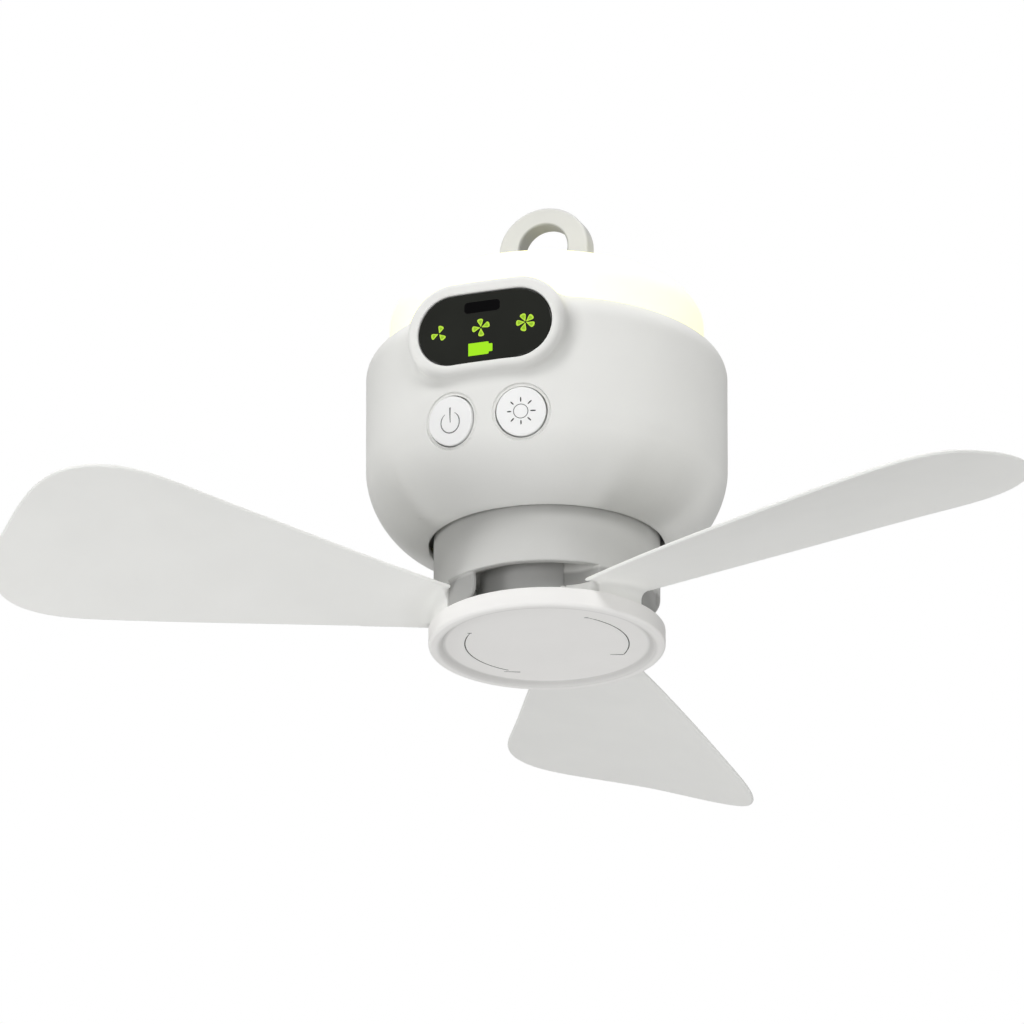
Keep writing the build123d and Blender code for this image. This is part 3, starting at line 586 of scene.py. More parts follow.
t = np.linspace(0, math.pi / 2, 80)
low = np.stack([R_OPEN + (R_BODY - R_OPEN) * np.sin(t) ** (2 / LOW_A), Z_OPEN + (Z_WALL - Z_OPEN) * (1 - np.cos(t) ** (2 / LOW_B))], 1)
t = np.linspace(0, math.pi / 2, 40)
sho = np.stack([R_BODY - SHO_A + SHO_A * np.cos(t), Z_TOP - SHO_B + SHO_B * np.sin(t)], 1)
PROFILE = [(0.0, Z_OPEN)] + low.tolist() + sho.tolist() + [(0.0, Z_TOP)]
STEP = 0.1
TAB_R, TAB_Z = np.arange(0, 76, STEP), np.arange(-119, -30, STEP)
TAB = poly_sd(*np.meshgrid(TAB_R, TAB_Z, indexing="ij"), PROFILE)


def bowl(P):
    i = np.clip(np.hypot(P[:, 0], P[:, 1]) / STEP, 0, len(TAB_R) - 1.001)
    j = np.clip((P[:, 2] - TAB_Z[0]) / STEP, 0, len(TAB_Z) - 1.001)
    a, b = i.astype(int), j.astype(int)
    u, v = i - a, j - b
    return ((TAB[a, b] * (1 - u) + TAB[a + 1, b] * u) * (1 - v) + (TAB[a, b + 1] * (1 - u) + TAB[a + 1, b + 1] * u) * v)


def button_frame(name):
    a, tl = math.radians(BTN_AZ[name]), math.radians(BTN_TILT)
    n = np.array([math.cos(a) * math.cos(tl), math.sin(a) * math.cos(tl), -math.sin(tl)])
    X = np.array([-math.sin(a), math.cos(a), 0.0])
    o = np.array([62.42 * math.cos(a), 62.42 * math.sin(a), Z_BTN])
    return o, X, np.cross(n, X), n


def in_button(P, name):
    o, X, Y, n = button_frame(name)
    d = P - o
    s = d @ n
    return d @ X, d @ Y, s


BOW = 430.0         # the display bows gently across its width


def shell_sd(P):
    x, y, z = P.T
    r = np.hypot(x, y)
    fb = bowl(P)
    zz = z - Z_LENS
    side = stad(x, zz, LENS_W + 2 * BEZEL, LENS_H + 2 * BEZEL)
    side = smax(side, 55.3 - r, 1.2)
    side = np.maximum(side, y + 30)
    bend = x * x / BOW
    f = edge(smin(fb, side, 2.6), Y_BEZEL + bend - y, 1.9)
    f = np.maximum(f, -(fb + WALL))
    # posts, ribs and bosses inside
    ax, ay = np.abs(x), np.abs(y)
    c15, s15 = math.cos(math.radians(15)), math.sin(math.radians(15))
    dp = np.hypot(ax - 49.5 * c15, ay - 49.5 * s15)
    post = np.maximum(np.maximum(dp - 3.8, -90 - z), z + 46)
    xl, yl = ax * c15 + ay * s15, ay * c15 - ax * s15
    rib = np.maximum(np.maximum(np.abs(yl) - 1.2, np.maximum(49.5 - xl, xl - 61.5)), np.maximum(-90 - z, z + 50.5))
    q = 47.0 * math.sqrt(0.5)
    dm = np.hypot(ax - q, ay - q)
    boss = np.maximum(np.maximum(dm - 3.6, -108.5 - z), z + 101)
    inside = np.minimum(np.minimum(post, rib), boss)
    for name, sd in (("power", -1), ("light", 1)):
        a, b, s = in_button(P, name)
        inside = np.minimum(inside, np.maximum(np.maximum(np.hypot(a - sd * 13.6, b) - 2.0, -12.8 - s), s + 1.0))
    f = np.minimum(f, np.maximum(inside, fb + 0.6))
    f = np.maximum(f, -np.maximum(dp - 1.4, -62 - z))
    f = np.maximum(f, -np.maximum(np.maximum(dm - 1.5, -107.6 - z), z + 95))
    # round openings
    f = smax(f, -np.maximum(r - R_LIP, -60 - z), 0.7)
    f = smax(f, -np.maximum(r - R_OPEN, z + 100), 0.5)
    # display seat
    f = smax(f, -np.maximum(stad(x, zz, LENS_W + 0.5, LENS_H + 0.5), y + 62.5 - bend), 0.8)
    f = np.maximum(f, -np.maximum(stad(x, zz, 44.0, 21.6), np.maximum(y + 58, -63 - y)))
    hol = np.maximum(stad(x, zz, 50.4, 27.8), np.maximum(y + 48, -61 - y))
    f = np.maximum(f, -np.maximum(hol, -np.maximum(r - 57.4, -46.5 - z)))
    # button seats and holes
    for name, sd in (("power", -1), ("light", 1)):
        a, b, s = in_button(P, name)
        d = np.hypot(a, b)
        f = smax(f, -np.maximum(np.maximum(d - BTN_RECESS, -2 - s), -(fb + 0.55)), 0.55)
        f = np.maximum(f, -np.maximum(d - BTN_HOLE, -8 - s))
        f = np.maximum(f, -np.maximum(np.maximum(np.hypot(a - sd * 13.6, b) - 0.9, -13 - s), s + 7.6))
    # charging port
    return smax(f, -np.maximum(stad(x, z + 62.6, 11.6, 6.0), 57 - y), 0.5)


V, F, LN = contour(shell_sd, (-63.6, -66.0, -111.6), (63.6, 64.0, -32.4), 0.55)
SHELL = build("shell_moulding", V, F, WHITE, "housing", ["body_shell"], LN)


# ------------------------------------------------------------------ display lens and its lit symbols
def outline_rings(out, rings, cap_n):
    """Closed plate from an outline (points, normals) and rings of (inset, y, normal out, normal y); facing -Y."""
    O, N2 = out
    n, k = len(O), len(rings)
    V, F, LN = [], [], []
    for ins, y, *_ in rings:
        for p, q in zip(O, N2):
            V.append((p[0] - q[0] * ins, y, p[1] - q[1] * ins))
    for i in range(k - 1):
        for j in range(n):
            l = (j + 1) % n
            F.append([i * n + j, i * n + l, (i + 1) * n + l, (i + 1) * n + j])
            for (w, m) in ((i, j), (i, l), (i + 1, l), (i + 1, j)):
                o, yy = rings[w][2], rings[w][3]
                LN.append((N2[m][0] * o, yy, N2[m][1] * o))
    F.append([j for j in range(n)])
    LN += [(0, -1, 0)] * n
    F.append([(k - 1) * n + j for j in range(n)][::-1])
    LN += [(0, 1, 0)] * n
    return np.array(V), F, LN


def stadium_outline(w, h, cx=0.0, cz=Z_LENS, n=40):
    r, s = h / 2, (w - h) / 2
    O, N2 = [], []
    for sx, a0 in ((1, -90), (-1, 90)):
        for i in range(n + 1):
            a = math.radians(a0 + 180 * i / n)
            O.append((cx + sx * s + r * math.cos(a), cz + r * math.sin(a)))
            N2.append((math.cos(a), math.sin(a)))
    return O, N2


def fix_winding(V, F, LN):
    F2, L2, s = [], [], 0
    for f in F:
        n = len(f)
        nn = LN[s: s + n]
        s += n
        p = V[list(f)]
        w = np.zeros(3)
        for i in range(n):
            w += np.cross(p[i] - p[0], p[(i + 1) % n] - p[0])
        if w @ np.sum(nn, 0) < 0:
            f, nn = list(f)[::-1], nn[::-1]
        F2.append(f)
        L2 += nn
    return V, F2, L2


def round_rings(y0, y1, r, n=5):
    """Rings for a plate from y0 (front) back to y1 with its front edge rounded."""
    out = []
    for i in range(n + 1):
        a = math.pi / 2 * i / n
        out.append((r - r * math.sin(a), y0 + r - r * math.cos(a), math.sin(a), -math.cos(a)))
    out.append((0.0, y1, 1.0, 0.0))
    return out


def lens_sd(P):
    x, y, z = P.T
    d, bend = stad(x, z - Z_LENS, LENS_W, LENS_H), x * x / BOW
    return np.maximum(edge(d, Y_LENS + bend - y, 0.4), y - Y_LENS - bend - LENS_T)


V, F, LN = contour(lens_sd, (-25.2, -65.2, Z_LENS - 13.6), (25.2, -59.8, Z_LENS + 13.6), 0.36)
build("lens_plate", V, F, LENS, "housing", ["display_lens"], LN)


def flat_shape(name, polys, y, mat, th=0.05, edge_r=0.0):
    """Thin flat shapes standing on the lens: closed outlines of (x, z)."""
    V, F, o = [], [], 0
    for P in polys:
        n = len(P)
        wide = max(q[0] for q in P) - min(q[0] for q in P) > 5
        off = lambda x: 0.0 if wide else x * x / BOW
        V += [(x, y + off(x) - th, z) for x, z in P] + [(x, y + off(x), z) for x, z in P]
        F.append([o + i for i in range(n)])
        F.append([o + n + i for i in range(n)][::-1])
        for i in range(n):
            l = (i + 1) % n
            F.append([o + i, o + n + i, o + n + l, o + l])
        o += 2 * n
    V = np.array(V)
    # outward winding: the first face of each shape looks to -Y
    F2 = []
    for f in F:
        F2.append(f)
    ob = build(name, V, F2, mat, "housing", (), None, smooth=False)
    import bmesh
    bm = bmesh.new()
    bm.from_mesh(ob.data)
    bmesh.ops.recalc_face_normals(bm, faces=bm.faces)
    bm.to_mesh(ob.data)
    bm.free()
    return ob


def petal(cx, cz, ang, R, wmax, r0=0.35, grow=0.0, skew=0.0):
    """Fan-blade shape pointing at ang: narrow at the hub, wide and rounded outside."""
    a = math.radians(ang)
    d, e = (math.cos(a), math.sin(a)), (-math.sin(a), math.cos(a))
    prof = [(0.0, 0.10), (0.22, 0.34), (0.45, 0.66), (0.66, 0.92), (0.80, 1.0), (0.90, 0.90), (0.97, 0.62), (1.0, 0.30)]
    pts = []
    for s in (1, -1):
        seq = prof if s > 0 else prof[::-1]
        for f, w in seq:
            t_ = r0 - grow + f * (R - r0 + 2 * grow)
            w_ = w * (wmax + grow)
            sk = skew * f * f
            pts.append((cx + d[0] * t_ + e[0] * (s * w_ + sk), cz + d[1] * t_ + e[1] * (s * w_ + sk)))
    return pts


ICONS = [(-16.6, -0.4, (67, 194, 309), 2.95, 1.05, 0.22), (-1.0, -0.36, (95, 17, 270, 185), 3.25, 1.06, 0.12), (15.1, -0.35, (110, 40, -25, -108, 180), 3.35, 1.05, 0.10)]
big, small = [], []
for cx, cz, angs, R, w, sk in ICONS:
    for a in angs:
        big.append(petal(cx, Z_LENS + cz, a, R, w, skew=sk))
        small.append(petal(cx, Z_LENS + cz, a, R - 0.55, w - 0.42, r0=1.25, skew=sk * 0.7))
Y_ICON = Y_LENS
flat_shape("speed_symbols", big, Y_ICON, ICON, 0.04)
ICON_IN = material("icon_green_inner", (0.03, 0.05, 0.006), var=0.05, rough=(0.45, 0.55), grain=2000, bump=0.0, spec=0.1, emit=srgb(150, 196, 44), emit_strength=0.9)
flat_shape("speed_symbols_inner", small, Y_ICON - 0.04, ICON_IN, 0.02)
bx, bz = -1.2, Z_LENS - 8.12
flat_shape("battery_symbol", [[(bx + u, bz + w) for u, w in ((-4.4, -2.3), (2.6, -2.3), (3.0, -2.1), (3.0, -1.6), (3.2, -1.45), (4.2, -1.45), (4.4, -1.25), (4.4, 1.25), (4.2, 1.45), (3.2, 1.45), (3.0, 1.6), (3.0, 2.1), (2.6, 2.3), (-4.4, 2.3))]], Y_ICON, BATT, 0.04)
O, N2 = [], []
for sx, sz, a0 in ((1, -1, -90), (1, 1, 0), (-1, 1, 90), (-1, -1, 180)):
    for i in range(9):
        a = math.radians(a0 + 90 * i / 8)
        O.append((-0.6 + sx * 5.15 + 1.3 * math.cos(a), Z_LENS + 7.42 + sz * 0.72 + 1.3 * math.sin(a)))
        N2.append((math.cos(a), math.sin(a)))
V, F, LN = fix_winding(*outline_rings((O, N2), round_rings(Y_LENS - 0.03, Y_LENS + 0.1, 0.02, 2), 0))
build("remote_window", V, F, IRW, "housing", (), LN)


# ------------------------------------------------------------------ buttons and their marks
def button_sd(name):
    def fn(P):
        a, b, s = in_button(P, name)
        d, dep = np.hypot(a, b), -s
        f = np.maximum(edge(d - BTN_R, bowl(P) - 0.45, 0.4), dep - 6.4)
        f = np.minimum(f, np.maximum(d - 10.0, np.maximum(5.2 - dep, dep - 6.4)))
        f = np.maximum(f, -np.maximum(d - 7.2, 2.4 - dep))
        return np.minimum(f, np.maximum(d - 2.2, np.maximum(2.2 - dep, dep - 8.0)))
    return fn


def on_button(name, pts, lift):
    """Plane points (mm) raised onto the button's face."""
    o, X, Y, n = button_frame(name)
    p = np.array([o + X * a + Y * b for a, b in pts])
    s = np.zeros(len(p))
    for _ in range(8):
        s -= bowl(p + s[:, None] * n) - 0.45 - lift
    return p + s[:, None] * n


def ribbon(pts, half, place, closed=False):
    """Flat band along a 2-D line: place(points, lift) puts points on a surface."""
    pts = np.array(pts, float)
    if closed:
        d = np.roll(pts, -1, 0) - np.roll(pts, 1, 0)
    else:
        d = np.gradient(pts, axis=0)
    d = unit(d)
    nrm = np.stack([-d[:, 1], d[:, 0]], 1)
    h = np.broadcast_to(np.asarray(half, float), (len(pts),))[:, None]
    L_, R_ = pts + nrm * h, pts - nrm * h
    V = np.concatenate([place(L_, 0.022), place(R_, 0.022), place(R_, -0.08), place(L_, -0.08)])
    n = len(pts)
    F = []
    for i in range(n if closed else n - 1):
        l = (i + 1) % n
        for a, b in ((0, 1), (1, 2), (2, 3), (3, 0)):
            F.append([a * n + i, b * n + i, b * n + l, a * n + l])
    if not closed:
        F.append([0, n, 2 * n, 3 * n][::-1])
        F.append([n - 1, 2 * n - 1, 3 * n - 1, 4 * n - 1])
    return V, F


def band_piece(name, bands, mat, body):
    V, F, o = [], [], 0
    for v, f in bands:
        V.append(v)
        F += [[i + o for i in q] for q in f]
        o += len(v)
    ob = build(name, np.concatenate(V), F, mat, body, (), None, smooth=False)
    import bmesh
    bm = bmesh.new()
    bm.from_mesh(ob.data)
    bmesh.ops.recalc_face_normals(bm, faces=bm.faces)
    bm.to_mesh(ob.data)
    bm.free()
    return ob


for name, body in (("power", "power_key"), ("light", "light_key")):
    o, X, Y, n = button_frame(name)
    c = o - n * 2.0
    V, F, LN = contour(button_sd(name), c - 13.0, c + 13.0, 0.5)
    build(name + "_key_cap", V, F, BUTTON, body, [name + "_button"], LN)

put = lambda nm: (lambda pts, lift: on_button(nm, pts, lift))
arc = [(0.35 + 3.7 * math.cos(math.radians(a)), -0.85 + 3.7 * math.sin(math.radians(a))) for a in np.linspace(90 + 31, 90 + 360 - 31, 70)]
half = np.full(70, 0.20)
half[:9] = np.linspace(0.08, 0.20, 9)
half[-9:] = np.linspace(0.20, 0.08, 9)
bar = [(0.45, z) for z in np.linspace(4.5, -0.95, 16)]
bh = np.linspace(0.30, 0.13, 16)
band_piece("power_mark", [ribbon(arc, half, put("power")), ribbon(bar, bh, put("power"))], MARK, "power_key")
sun = []
for i, (a, r0, r1) in enumerate([(90, 3.4, 5.1), (45, 3.5, 5.3), (0, 3.3, 5.2), (-45, 3.3, 4.9), (-90, 3.2, 4.7), (-135, 3.4, 5.0), (180, 3.3, 4.8), (135, 3.5, 5.0)]):
    ca, sa = math.cos(math.radians(a)), math.sin(math.radians(a))
    k = np.linspace(0, 1, 8)
    sun.append(ribbon([((r0 + (r1 - r0) * w) * ca, -0.25 + (r0 + (r1 - r0) * w) * sa) for w in k], 0.13 + 0.12 * np.sin(np.pi * np.clip(k * 0.9 + 0.05, 0, 1)), put("light")))
band_piece("light_mark", sun, MARK_DARK, "light_key")
ring = [(2.5 * math.cos(a), -0.25 + 2.5 * math.sin(a)) for a in np.linspace(0, 2 * math.pi, 60, endpoint=False)]
band_piece("light_mark_ring", [ribbon(ring, 0.14, put("light"), True)], MARK, "light_key")

# ------------------------------------------------------------------ light dome
t = R_DOME
P = [(4.6, Z_DOME - DOME_T), (4.6, Z_DOME)]
Q = [(-1, 0), (-1, 0)]
P2, Q2 = [(4.6, Z_DOME), (12.0, Z_DOME), (25.0, Z_DOME)], [(0, 1)] * 3
for i in range(41):
    a = math.pi / 2 * (1 - i / 40)
    P2.append((R_DOME - DOME_A + DOME_A * math.cos(a), Z_DOME - DOME_B + DOME_B * math.sin(a)))
    g = np.array([math.cos(a) / DOME_A, math.sin(a) / DOME_B])
    Q2.append(tuple(g / np.linalg.norm(g)))
P3, Q3 = [(R_DOME, Z_DOME_FOOT), (R_DOME, Z_DOME_FOOT)], [(1, 0), (0, -1)]
A2, B2, RI = DOME_A - DOME_T, DOME_B - DOME_T, R_DOME - DOME_T
P4, Q4 = [(RI, Z_DOME_FOOT), (RI, Z_DOME_FOOT)], [(0, -1), (-1, 0)]
for i in range(31):
    a = math.pi / 2 * (i / 30)
    P4.append((RI - A2 + A2 * math.cos(a), Z_DOME - DOME_T - B2 + B2 * math.sin(a)))
    g = np.array([math.cos(a) / A2, math.sin(a) / B2])
    Q4.append(tuple(-g / np.linalg.norm(g)))
P4.append((4.6, Z_DOME - DOME_T))
Q4.append((0, -1))
V, F, LN = lathe(np.array(P + P2 + P3 + P4), np.array(Q + Q2 + Q3 + Q4), 224)
build("dome_diffuser", V, F, DOME, "housing", ["light_dome"], LN)


# ------------------------------------------------------------------ hanging eye
def eye_sd(P):
    x, y, z = P.T
    r, c = np.hypot(x, y), np.hypot(x, z)
    k = np.hypot(x / EYE_R, z / EYE_TOP)
    g = np.maximum(np.hypot(x / EYE_R ** 2, z / EYE_TOP ** 2), 1e-6)
    d2 = np.where(z > 0, k * (k - 1) / g, np.maximum(np.abs(x) - EYE_R, -17.0 - z))
    f = edge(np.maximum(d2, EYE_HOLE - c), np.abs(y) - EYE_T / 2, 0.9)
    pad = edge(r - 18.6, z + 14.2, 1.2)
    f = np.maximum(smin(f, pad, 1.6), Z_DOME - z)
    f = np.minimum(f, np.maximum(r - 4.4, np.maximum(z + 15.0, Z_DOME - DOME_T - z)))
    return np.maximum(f, -np.maximum(r - 2.0, z + 11.0))


V, F, LN = contour(eye_sd, (-19.4, -19.4, -18.8), (19.4, 19.4, 17.0), 0.5)
build("eye_moulding", V, F, EYE, "housing", ["hanging_eye"], LN)


# ------------------------------------------------------------------ turning drum
def slot_top(y):
    return -132.35 + (y - 8.0) * 0.118


EAR = [(16.5, -118.0), (3.6, -118.0), (3.6, Z_EAR)] + [(12.0 + 4.5 * math.sin(math.radians(15 * i)), Z_EAR + 4.5 - 4.5 * math.cos(math.radians(15 * i))) for i in range(7)]


def fold(x, y, az):
    r, a = np.hypot(x, y), np.arctan2(y, x) - math.radians(az)
    a = np.mod(a + math.pi / 3, 2 * math.pi / 3) - math.pi / 3
    return r, r * np.cos(a), r * np.sin(a)


def drum_sd(P):
    x, y, z = P.T
    r, lx, ly = fold(x, y, BLADE_AZ[0])
    f = np.maximum(edge(r - R_DRUM, Z_EAR - z, 0.5), z - Z_DRUM_TOP)
    f = np.maximum(f, -np.maximum(r - R_DRUM + DRUM_T, -124.4 - z))
    f = np.maximum(f, 6.0 - r)
    _, sx, sy = fold(x, y, 60.0)
    f = np.maximum(f, 1.7 - np.hypot(sx - 18.0, sy))
    arm = np.maximum(smin(np.maximum(-16.7 - ly, ly - 4.5), r - 29.1, 5.0), slot_top(ly) + 0.05 - z)
    arm = np.maximum(arm, np.maximum(29.1 - r, np.maximum(22 - lx, z + 118)))
    ear = edge(np.maximum(poly_sd(ly, z, EAR), 28 - lx), np.abs(r - 37.65) - 0.75, 0.7)
    cut = -np.minimum(np.maximum(z - Z_DRUM_EDGE, r - 60), np.maximum(r - R_DRUM + DRUM_T, np.maximum(z + 126.8, -150 - z)))
    return smax(f, smin(cut, np.minimum(arm, ear), 0.5), 0.6)


V, F, LN = contour(drum_sd, (-40, -40, -141.4), (40, 40, -102.6), 0.62)
build("drum_moulding", V, F, DRUM_WHITE_PAINTED_SHADE, "rotor", ["rotor_drum"], LN)

# ------------------------------------------------------------------ lock cap
Z_FACE = -145.9
prof = [(0, Z_FACE, 0), (35.8, Z_FACE, 1.0), (37.3, Z_CAP_BOT, 0.8), (R_CAP, Z_CAP_BOT, 1.3), (R_CAP, Z_CAP_TOP, 0.6), (38.2, Z_CAP_TOP, 0.2),
        (38.2, -144.2, 0), (13.2, -144.2, 0), (13.2, Z_CAP_TOP, 0), (9.5, Z_CAP_TOP, 0), (9.5, -132.4, 0.2), (6.5, -132.4, 0.2), (6.5, -143.9, 0), (0, -143.9, 0)]
P, Q = rounded(prof, 8)
cap = lathe(P, Q, 224)
tabs = []
for az in (42.57, 162.57, 282.57):
    v, f, ln = [], [], []
    for zz in (-135.6, -133.2):
        for r in (9.2, 12.2):
            for k in range(9):
                a = math.radians(az - 11.5 + 23.0 * k / 8)
                v.append((r * math.cos(a), r * math.sin(a), zz))
    ix = lambda zi, ri, k: zi * 18 + ri * 9 + k
    for k in range(8):
        f += [[ix(0, 0, k), ix(0, 0, k + 1), ix(0, 1, k + 1), ix(0, 1, k)], [ix(1, 0, k), ix(1, 1, k), ix(1, 1, k + 1), ix(1, 0, k + 1)],
              [ix(0, 1, k), ix(0, 1, k + 1), ix(1, 1, k + 1), ix(1, 1, k)], [ix(0, 0, k + 1), ix(0, 0, k), ix(1, 0, k), ix(1, 0, k + 1)]]
    for k in (0, 8):
        f.append([ix(0, 0, k), ix(0, 1, k), ix(1, 1, k), ix(1, 0, k)] if k == 0 else [ix(0, 1, k), ix(0, 0, k), ix(1, 0, k), ix(1, 1, k)])
    v = np.array(v)
    ctr = v.mean(0)
    F2 = []
    for q in f:
        p = v[q]
        nn = np.cross(p[1] - p[0], p[2] - p[0])
        if nn @ (p.mean(0) - ctr) < 0:
            q, nn = q[::-1], -nn
        F2.append(q)
        ln += [tuple(nn / np.linalg.norm(nn))] * 4
    tabs.append((v, F2, ln))
V, F, LN = merge(cap, *tabs)
build("cap_moulding", V, F, WHITE_CAP, "cap", ["lock_cap"], LN)


def on_cap(pts, lift):
    return np.array([(a, b, Z_FACE - lift) for a, b in pts])


bands = []
for a0, a1, sgn in ((220.8, 137.8, -1), (318.8, 391.8, 1)):
    th = np.radians(np.linspace(a0, a1, 60))
    hw = np.full(60, 0.19)
    hw[:8] = np.linspace(0.07, 0.19, 8)
    bands.append(ribbon(np.stack([28.3 * np.cos(th), 28.3 * np.sin(th)], 1), hw, on_cap))
    tip = math.radians(a1 + sgn * 9.0)
    tp = np.array([28.3 * math.cos(tip), 28.3 * math.sin(tip)])
    barb = tp + np.array([-0.941, -0.339]) * (4.6 if sgn > 0 else 5.6)
    if sgn < 0:
        barb = barb + np.array([0.33, -0.94]) * 0.5
    bands.append(ribbon(np.linspace(barb, tp, 10), np.linspace(0.12, 0.26, 10), on_cap))
    if sgn > 0:
        th2 = np.radians(np.linspace(a1 + 0.6, a1 + 8.6, 10))
        bands.append(ribbon(np.stack([28.3 * np.cos(th2), 28.3 * np.sin(th2)], 1), 0.17, on_cap))
    st = np.array([28.3 * math.cos(th[0]), 28.3 * math.sin(th[0])])
    bands.append(ribbon(np.linspace(st - np.array([0.9, 0.3]), st + np.array([0.5, 0.2]), 6), np.array([0.16, 0.24, 0.27, 0.27, 0.22, 0.15]), on_cap))
band_piece("turn_arrows", bands, MARK_DARK, "cap")


# ------------------------------------------------------------------ blades
def blade_map(rr, u, lift):
    """Along and across the blade (K units) and lift (K units) to millimetres."""
    b = np.radians(2.0 + 19.3 * (rr / 500) - 9.1 * (rr / 500) ** 2)
    w = -0.000642 * u * u + lift
    return np.stack([rr, -2.3 + u * np.cos(b) - w * np.sin(b), -61.0 + 0.064 * rr + 7.8e-6 * rr * rr + u * np.sin(b) + w * np.cos(b) - 333.5], -1) * K


def blade_inv(x, y):
    """Plan position (mm) to the blade's own coordinates, on its middle surface."""
    rr, u = x / K, y / K
    for _ in range(12):
        e = blade_map(rr, u, 0.0)[..., 1] - y
        de = (blade_map(rr, u + 0.5, 0.0)[..., 1] - blade_map(rr, u - 0.5, 0.0)[..., 1])
        u = u - e / de
    return rr, u


def surf(x, y):
    """Middle surface point and its upward normal above a plan position."""
    rr, u = blade_inv(x, y)
    p = blade_map(rr, u, 0.0)
    r1, u1 = blade_inv(x + 0.2, y)
    r2, u2 = blade_inv(x, y + 0.2)
    n = unit(np.cross(blade_map(r1, u1, 0.0) - p, blade_map(r2, u2, 0.0) - p))
    return p, n


def spline(pts, per=14):
    """Natural cubic through the points on chord length."""
    p = np.array(pts, float)
    s = np.concatenate([[0], np.cumsum(np.linalg.norm(np.diff(p, axis=0), axis=1))])
    n, h = len(p), np.diff(s)
    A, B = np.zeros((n, n)), np.zeros((n, 2))
    A[0, 0] = A[-1, -1] = 1
    for i in range(1, n - 1):
        A[i, i - 1], A[i, i], A[i, i + 1] = h[i - 1], 2 * (h[i - 1] + h[i]), h[i]
        B[i] = 6 * ((p[i + 1] - p[i]) / h[i] - (p[i] - p[i - 1]) / h[i - 1])
    M = np.linalg.solve(A, B)
    out = []
    for i in range(n - 1):
        for k in range(per):
            t_ = k / per * h[i]
            a = (h[i] - t_)
            out.append((M[i] * a ** 3 + M[i + 1] * t_ ** 3) / (6 * h[i]) + (p[i] / h[i] - M[i] * h[i] / 6) * a + (p[i + 1] / h[i] - M[i + 1] * h[i] / 6) * t_)
    out.append(p[-1])
    return np.array(out)


LEAD = [(70, 13.2), (190, 38.7), (310, 66.6), (420, 92.9)]
TIP = [(80, 104.6), (60, 116.0), (40, 122.2), (20, 117.7), (0, 114.5), (-20, 120.8), (-40, 142.9), (-60, 163.1), (-80, 156.0)]
TRAIL = [(420, -144.5), (310, -118.2), (190, -87.2), (70, -54.0)]
plan = LEAD + [(450 + t_ * math.cos(math.radians(a)), t_ * math.sin(math.radians(a))) for a, t_ in TIP] + TRAIL
plan = np.array([blade_map(np.array(float(r)), np.array(float(u)), 0.0)[:2] for r, u in plan])
line = spline(plan, 16)
R_IN, X_JOIN = 39.45, 58.0


def resample(p, step):
    s = np.concatenate([[0], np.cumsum(np.linalg.norm(np.diff(p, axis=0), axis=1))])
    m = max(2, int(round(s[-1] / step)))
    w = np.linspace(0, s[-1], m + 1)
    return np.stack([np.interp(w, s, p[:, 0]), np.interp(w, s, p[:, 1])], 1)


def clip_in(p, x0):
    """Part of the outline beyond a plane across the blade, ends on it."""
    d = p[:, 0] - x0
    k = np.where(d > 0)[0]
    i, j = k[0], k[-1]
    a = p[i - 1] + (p[i] - p[i - 1]) * (-d[i - 1] / (d[i] - d[i - 1]))
    b = p[j + 1] + (p[j] - p[j + 1]) * (-d[j + 1] / (d[j] - d[j + 1]))
    return np.concatenate([[a], p[i: j + 1], [b]])


HALF = BLADE_T / 2
edge_line = resample(clip_in(line, X_JOIN - HALF), 1.1)
w_ = np.linspace(0, 1, 40)[:, None]
arcp = edge_line[-1] * (1 - w_) + edge_line[0] * w_
loop2 = np.concatenate([edge_line, arcp[1:-1]])
tang = unit(np.roll(loop2, -1, 0) - np.roll(loop2, 1, 0))
out2 = np.stack([tang[:, 1], -tang[:, 0]], 1)
area = 0.5 * np.sum(loop2[:, 0] * np.roll(loop2[:, 1], -1) - np.roll(loop2[:, 0], -1) * loop2[:, 1])
if area < 0:
    out2 = -out2
inner2 = loop2 - out2 * HALF
# interior points on a triangular net, kept off the rim
gx = np.arange(loop2[:, 0].min(), loop2[:, 0].max(), 2.0)
net = []
for i, xx in enumerate(gx):
    for yy in np.arange(loop2[:, 1].min(), loop2[:, 1].max(), 2.3) + (1.15 if i % 2 else 0):
        net.append((xx, yy))
net = np.array(net)
keep = poly_sd(net[:, 0], net[:, 1], inner2[::3].tolist()) < -1.3
net = net[keep]
pts = [Vector(p) for p in inner2.tolist()] + [Vector(p) for p in net.tolist()]
nb_ = len(inner2)
vv, ee, ff, ov, oe, of_ = geometry.delaunay_2d_cdt(pts, [(i, (i + 1) % nb_) for i in range(nb_)], [], 1, 1e-6)
vv = np.array([tuple(v) for v in vv])
tri = [list(f) for f in ff]
# delaunay keeps the input order for these points; check before using the rim indices
assert len(vv) == len(pts) and np.abs(vv - np.array([tuple(p) for p in pts])).max() < 1e-4
mid, nrm = surf(vv[:, 0], vv[:, 1])
mo, no = surf(inner2[:, 0], inner2[:, 1])
V, F, LNv = [], [], []
NV_ = len(vv)
V = [mid + nrm * HALF, mid - nrm * HALF]
VN = [nrm, -nrm]
RINGS = 5
out3 = np.concatenate([out2, np.zeros((nb_, 1))], 1)
out3 = unit(out3 - no * (out3 * no).sum(1, keepdims=True))
for k in range(1, RINGS):
    a = math.pi / 2 - math.pi * k / RINGS
    d = out3 * math.cos(a) + no * math.sin(a)
    V.append(mo + d * HALF)
    VN.append(d)
V, VN = np.concatenate(V), np.concatenate(VN)
F = []
for f in tri:
    p = vv[f]
    ccw = (p[1][0] - p[0][0]) * (p[2][1] - p[0][1]) - (p[1][1] - p[0][1]) * (p[2][0] - p[0][0]) > 0
    g = f if ccw else f[::-1]
    F.append(g)
    F.append([i + NV_ for i in g[::-1]])
